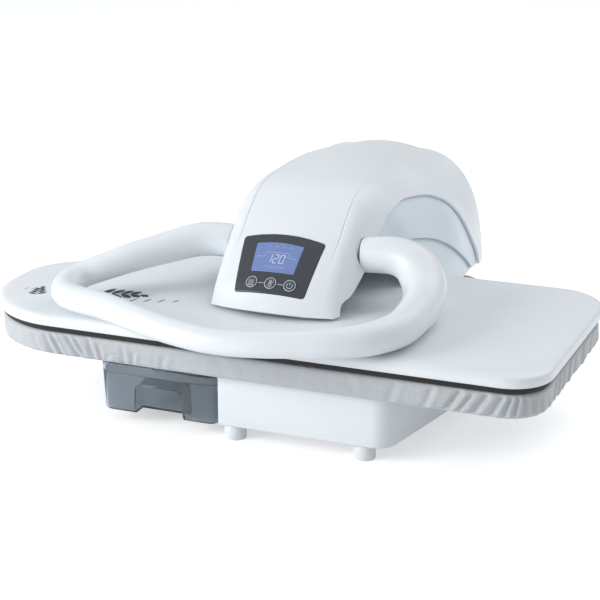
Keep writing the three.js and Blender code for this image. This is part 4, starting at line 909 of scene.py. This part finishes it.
def display_outline(inset):
    shape = panel_outline(24, 26.5, display_low, display_top, 3, 1.6, inset)
    return [(u + display_middle, t) for u, t in shape]


def display_finish():
    material = finish_with("lit_blue_display", "#7486b8", 0.25, mottle=0.05, cloud=12, relief=0.0)
    shader = material.node_tree.nodes["Principled BSDF"]
    set_inputs(shader, Emission_Color=paint("#6b82c8") + [1], Emission_Strength=0.08)
    return material


display_blue = display_finish()
window_levels = [(0.0, -0.6), (0.0, 0.15), (0.25, 0.3), (0.8, 0.3)]
window = inlay("display_glass", display_outline, window_levels, display_low + 12, display_top - 12)
fit(window, "head", display_blue, ["display_window"], crisp=60)


def strokes(name, lines, width, lift):
    points, faces = [], []
    for line in lines:
        fine = closely(line) + [line[-1]]
        start = len(points)
        closed = math.dist(line[0], line[-1]) < 1e-6
        for k, (u, t) in enumerate(fine):
            before = fine[k - 1] if k else (fine[-2] if closed else fine[0])
            after = fine[k + 1] if k + 1 < len(fine) else (fine[1] if closed else fine[-1])
            along = Vector((after[0] - before[0], after[1] - before[1])).normalized()
            for off in (-0.5 * width, 0.5 * width):
                points.append(on_panel(u - along.y * off, t + along.x * off, lift))
        for k in range(len(fine) - 1):
            a = start + 2 * k
            faces.append((a, a + 2, a + 3, a + 1))
    return meshed(name, points, faces, closed=False)


segments = {"a": ((0, 2), (1, 2)), "b": ((1, 2), (1, 1)), "c": ((1, 1), (1, 0)), "d": ((0, 0), (1, 0)),
            "e": ((0, 0), (0, 1)), "f": ((0, 1), (0, 2)), "g": ((0, 1), (1, 1))}
figures = {"1": "bc", "2": "abged", "0": "abcdef"}


def figure(character, u, t, wide, tall):
    lean = 0.12
    gap = 0.07
    lines = []
    for letter in figures[character]:
        (x0, z0), (x1, z1) = segments[letter]
        ends = [(u + x * wide + z * tall * lean / 2, t + z * tall / 2) for x, z in ((x0, z0), (x1, z1))]
        first, second = Vector(ends[0]), Vector(ends[1])
        lines.append([tuple(first.lerp(second, gap)), tuple(second.lerp(first, gap))])
    return lines


def dash_row(u, t, length, pitch, count):
    return [[(u + pitch * k, t), (u + length + pitch * k, t)] for k in range(count)]


def by_figures(points):
    return [(display_middle + u, figure_low + t) for u, t in points]


pale_print = finish_with("pale_screen_print", "#cfd8ea", 0.5, mottle=0.02, relief=0.0)
display_print_lift = 0.4
figure_low = display_low + 11.0
figure_pitch, figure_width, figure_height = 7.0, 4.4, 10.0
figure_lines = []
for k, character in enumerate("120"):
    figure_left = display_middle - 10.0 + figure_pitch * k
    figure_lines += figure(character, figure_left, figure_low, figure_width, figure_height)
display_figures = strokes("display_figures", figure_lines, 0.95, display_print_lift)
fit(display_figures, "head", pale_print)
frame_lines = [by_figures([(-22, 7), (-14, 7), (-12, 12.6), (13, 12.6), (15, 7), (22, 7)]),
               by_figures([(11.5, 8), (13.0, 8)])]
frame_lines += dash_row(display_middle - 9, figure_low - 4.2, 2.0, 3.2, 7)
frame_lines += dash_row(display_middle - 9, figure_low - 5.8, 1.4, 3.2, 7)
frame_lines += dash_row(display_middle - 12, display_top - 3.2, 3.0, 8, 4)
fit(strokes("display_lines", frame_lines, 0.32, display_print_lift), "head", pale_print)

key_grey = finish_with("satin_key_cap", "#474b51", 0.4, mottle=0.04, cloud=8, relief=0.03)
key_row = panel_height * 0.173
key_pitch = 21.4
key_radius = 7
key_places = {"key_steam": -key_pitch, "key_heat": 0.0, "key_power": key_pitch}
cap_levels = [(0, -2.0), (0, 0.65), (0.25, 0.92), (0.9, 1.0)]
ring_radius = 6.1
symbol_lift = 1.08


def arc(u, t, radius, first, last, steps):
    turns = [math.radians(first + (last - first) * k / steps) for k in range(steps + 1)]
    return [(u + radius * math.cos(turn), t + radius * math.sin(turn)) for turn in turns]


steam_wisp = [(-3, -2.6), (-2.1, -1.0), (-3.2, 0.8), (-2.3, 2.6)]
dish_line = [(-3.4, -3.8), (3.0, -3.8)]
icons = {
    "key_steam": [[(u + 2.2 * k, t) for u, t in steam_wisp] for k in range(3)] + [dish_line],
    "key_heat": [arc(0, -2.2, 1.7, 125, 415, 14), [(-0.97, -0.8), (-0.97, 3.4), (0.97, 3.4), (0.97, -0.8)],
                 [(2.2, 2.6), (3.4, 2.6)], [(2.2, 1.0), (3.4, 1.0)], [(0, -2.2), (0, 1.6)]],
    "key_power": [arc(0, -0.3, 3.0, 125, 415, 22), [(0, 0.6), (0, 3.9)]],
}
for name, u in key_places.items():
    cap = inlay(name + "_cap", lambda inset, u=u: circle(u, key_row, key_radius - inset, 48), cap_levels,
                key_row, key_row, fills=())
    fit(cap, name, key_grey, [name], crisp=60)
    symbol = [arc(u, key_row, ring_radius, 0, 360, 40)]
    symbol += [[(u + a, key_row + b) for a, b in line] for line in icons[name]]
    fit(strokes(name + "_symbol", symbol, 0.55, symbol_lift), name, pale_print)
near, far = key_radius + 0.4, key_pitch - key_radius - 0.4
joining_lines = [[(-far, key_row), (-near, key_row)], [(near, key_row), (far, key_row)]]
fit(strokes("key_row_lines", joining_lines, 0.5, 0.18), "head", pale_print)


# The handle: a white loop moulded in one piece, round in section and thicker at its
# two knuckles, which reach into the head and turn on collars there.
handle_shares = [
    # (share of the reach, share of the way to the front, share of the drop, share of the grip radius)
    (0.35, 0, 0, 0.93), (0.5, -0.005, -0.06, 1), (0.595, 0.01, 0.08, 1.1), (0.655, 0.049, 0.36, 1.16),
    (0.695, 0.121, 0.62, 1.15), (0.72, 0.243, 0.77, 1.07), (0.73, 0.42, 0.81, 0.96),
    (0.712, 0.63, 0.85, 0.88), (0.62, 0.79, 0.88, 0.8), (0.48, 0.885, 0.915, 0.72),
    (0.35, 0.93, 0.955, 0.68), (0.171, 0.975, 1.01, 0.655), (0, 0.99, 1.05, 0.645),
    (-0.153, 0.975, 1.045, 0.65), (-0.37, 0.92, 0.985, 0.67), (-0.667, 0.801, 0.895, 0.695),
    (-0.82, 0.757, 0.89, 0.7), (-0.93, 0.709, 0.885, 0.7), (-0.99, 0.626, 0.86, 0.7),
    (-1, 0.534, 0.8, 0.7), (-0.968, 0.456, 0.7, 0.71), (-0.884, 0.388, 0.52, 0.74),
    (-0.782, 0.3, 0.33, 0.79), (-0.648, 0.17, 0.14, 0.86), (-0.5, 0.05, -0.03, 0.93),
    (-0.35, 0, 0, 0.93),
]
handle_reach = 216
handle_front_y, handle_front_z = -41, 131
grip_radius = 20
tube_sides = 56
tube_steps = 7
tube_end_x = 73.0
knuckle_from_y = 140
collar_width, collar_gap = 3.5, 0.3


def handle_tube():
    stations = []
    for reach, ahead, drop, girth in handle_shares:
        stations.append((handle_reach * reach, hub_y + (handle_front_y - hub_y) * ahead,
                         hub_z + (handle_front_z - hub_z) * drop, grip_radius * girth))
    count = (len(stations) - 1) * tube_steps
    path = [smooth_between(stations, k / tube_steps) for k in range(count + 1)]
    rows = []
    for k, (x, y, z, radius) in enumerate(path):
        along = (Vector(path[min(k + 1, count)][:3]) - Vector(path[max(k - 1, 0)][:3])).normalized()
        across = along.cross(Vector((0, 0, 1))).normalized()
        up = across.cross(along)
        row = []
        for side in range(tube_sides):
            angle = 2 * math.pi * side / tube_sides
            point = Vector((x, y, z)) + (across * math.cos(angle) + up * math.sin(angle)) * radius
            if abs(point.x) < tube_end_x and y > knuckle_from_y:
                point.x = math.copysign(tube_end_x, point.x)
            row.append(point)
        rows.append(row)
    return skin("handle_grip", rows)


fit(handle_tube(), "handle", white_gloss, ["handle_loop"], crisp=50)
collar_outer = tube_end_x - collar_gap
collar_inner = collar_outer - collar_width
for name, ends in (("left", (-collar_outer, -collar_inner)), ("right", (collar_inner, collar_outer))):
    collar = bar_along_x("hub_collar_" + name, *ends, hub_y, hub_z, hub_radius, ease=0.5)
    fit(collar, "handle", white_gloss, ["hub_disc_" + name])


# The water tank: smoke-tinted clear plastic with rounded corners and a finger
# pocket moulded into its front, under a lid that hangs on two rails.
def smoke_finish():
    material = finish_with("smoke_clear_plastic", "#bcc5cc", 0.08, mottle=0.03, cloud=30, relief=0.008)
    shader = material.node_tree.nodes["Principled BSDF"]
    set_inputs(shader, Transmission_Weight=0.93, IOR=1.3)
    return material


smoke = smoke_finish()
tank_front, tank_rear = 15.6, 171.6
tank_left, tank_right = -166, -31.2
tank_corners = [(tank_left, tank_front, 12), (tank_right, tank_front, 12), (tank_right, tank_rear, 12),
                (tank_left, tank_rear, 12)]
tank_middle = -98.3
pocket_front, pocket_rear = 8, 34.6


def pocket_tool(grow):
    profile = [(-27 - grow, 5), (-27 - grow, 22), (-25.5 - grow, 41 + grow), (-22, 45 + grow),
               (22, 45.6 + grow), (25.5 + grow, 42 + grow), (27 + grow, 22), (28.5 + grow, 5)]
    rows = [[(tank_middle + x, y, z) for x, z in profile] for y in (pocket_front, pocket_rear + grow)]
    return skin("pocket_tool", rows)


# (inset, height) of the outside and of the hollow, for the tank and then for the lid
tank_outer_levels = [(5.5, 13.6), (4.0, 13.9), (3.0, 14.7), (2.2, 16.2), (1.7, 18.5), (0.3, 57.2)]
tank_inner_levels = [(5.0, 15.6), (3.7, 19), (2.3, 62)]
lid_outer_levels = [(0.3, 57.5), (0, 58.0), (0, 66.4), (0.4, 67.4), (1.2, 68.1)]
lid_inner_levels = [(2, 50), (2, 65.2), (3, 66.1)]


def tank_body():
    body = stacked("tank_body", tank_corners, tank_outer_levels)
    room = stacked("tank_room", tank_corners, tank_inner_levels)
    carve(room, [pocket_tool(2.0)])
    carve(body, [room, pocket_tool(0.0)])
    return body


fit(ease_edges(tank_body(), 0.6, angle=60), "water_tank", smoke, ["water_tank"], crisp=30)
filler_y = 40.6
lid = stacked("tank_lid_moulding", tank_corners, lid_outer_levels)
lid_room = stacked("lid_room", tank_corners, lid_inner_levels)
carve(lid, [lid_room, turned("filler_tool", tank_middle, filler_y, [(16, 50), (16, 80)])])
fit(ease_edges(lid, 0.4, angle=60), "water_tank", smoke, ["tank_lid"], crisp=30)
bung_profile = [(15.4, 59.6), (15.7, 60.0), (15.7, 68.4), (19.6, 68.4), (20, 68.8), (20, 70.3), (19.6, 70.8),
                (4, 70.8)]
bung = turned("filler_bung", tank_middle, filler_y, bung_profile)
fit(bung, "water_tank", inner_white, ["filler_cap"])
runner_front, runner_rear = 31.6, 159.6
runner_offset = 42


def lid_bar(name, x, half, low, high):
    section = [(x - half, low), (x + half, low), (x + half, high), (x - half, high)]
    return skin(name, [[(a, y, z) for a, z in section] for y in (runner_front, runner_rear)])


for name, x in (("left", tank_middle - runner_offset), ("right", tank_middle + runner_offset)):
    runner = lid_bar("lid_runner_" + name, x, 5, 69.9, 70.9)
    carve(runner, [lid_bar("lid_stem", x, 2, 67.6, 70.1)], "UNION")
    fit(ease_edges(runner, 0.25, angle=60), "water_tank", smoke)


# The studio: a pale seamless floor, a white room that fills from all round, a soft
# lamp low in front on the left and a broader, weaker one high behind on the right.
floor_reach = 6.0
floor_colour = (0.93, 0.935, 0.94, 1)
floor_glow = 0.45
room_colour = (0.95, 0.98, 1.0, 1)
room_fill, room_seen = 0.53, 1.0
lamp_aim = (0, 0, 0.1)


def either_ray(tree, first, second):
    rays = node_in(tree, "LightPath")
    either = node_in(tree, "Math")
    either.operation = "MAXIMUM"
    tree.links.new(rays.outputs[first], either.inputs[0])
    tree.links.new(rays.outputs[second], either.inputs[1])
    return either.outputs[0]


def studio_floor():
    mesh = bpy.data.meshes.new("studio_floor")
    corners = [(-1, -1), (1, -1), (1, 1), (-1, 1)]
    mesh.from_pydata([(x * floor_reach, y * floor_reach, 0) for x, y in corners], [], [(0, 1, 2, 3)])
    floor = placed("studio_floor", mesh)
    material = bpy.data.materials.new("studio_floor")
    material.use_nodes = True
    tree = material.node_tree
    shader = tree.nodes["Principled BSDF"]
    set_inputs(shader, Base_Color=floor_colour, Roughness=0.9, Specular_IOR_Level=0.1,
               Emission_Color=(1, 1, 1, 1))
    glow = node_in(tree, "Math")
    glow.operation = "MULTIPLY"
    glow.inputs[1].default_value = floor_glow
    tree.links.new(either_ray(tree, "Is Camera Ray", "Is Glossy Ray"), glow.inputs[0])
    tree.links.new(glow.outputs[0], shader.inputs["Emission Strength"])
    mesh.materials.append(material)


def studio_room():
    world = bpy.data.worlds.new("studio_room")
    world.use_nodes = True
    bpy.context.scene.world = world
    tree = world.node_tree
    background = tree.nodes["Background"]
    set_inputs(background, Color=room_colour)
    strength = node_in(tree, "MapRange", To_Min=room_fill, To_Max=room_seen)
    tree.links.new(either_ray(tree, "Is Camera Ray", "Is Transmission Ray"), strength.inputs["Value"])
    tree.links.new(strength.outputs["Result"], background.inputs["Strength"])


def soft_lamp(name, place, size, power):
    lamp = bpy.data.lights.new(name, "AREA")
    lamp.shape = "DISK"
    lamp.size = size
    lamp.energy = power
    holder = placed(name, lamp)
    holder.location = place
    holder.rotation_euler = (Vector(place) - Vector(lamp_aim)).to_track_quat("Z", "Y").to_euler()


studio_floor()
studio_room()
soft_lamp("front_lamp", (-1.55, -1.5, 0.9), 1.3, 33)
soft_lamp("side_lamp", (1.0, 1.4, 2.0), 2.2, 23)
bpy.context.scene.view_settings.view_transform = "Standard"
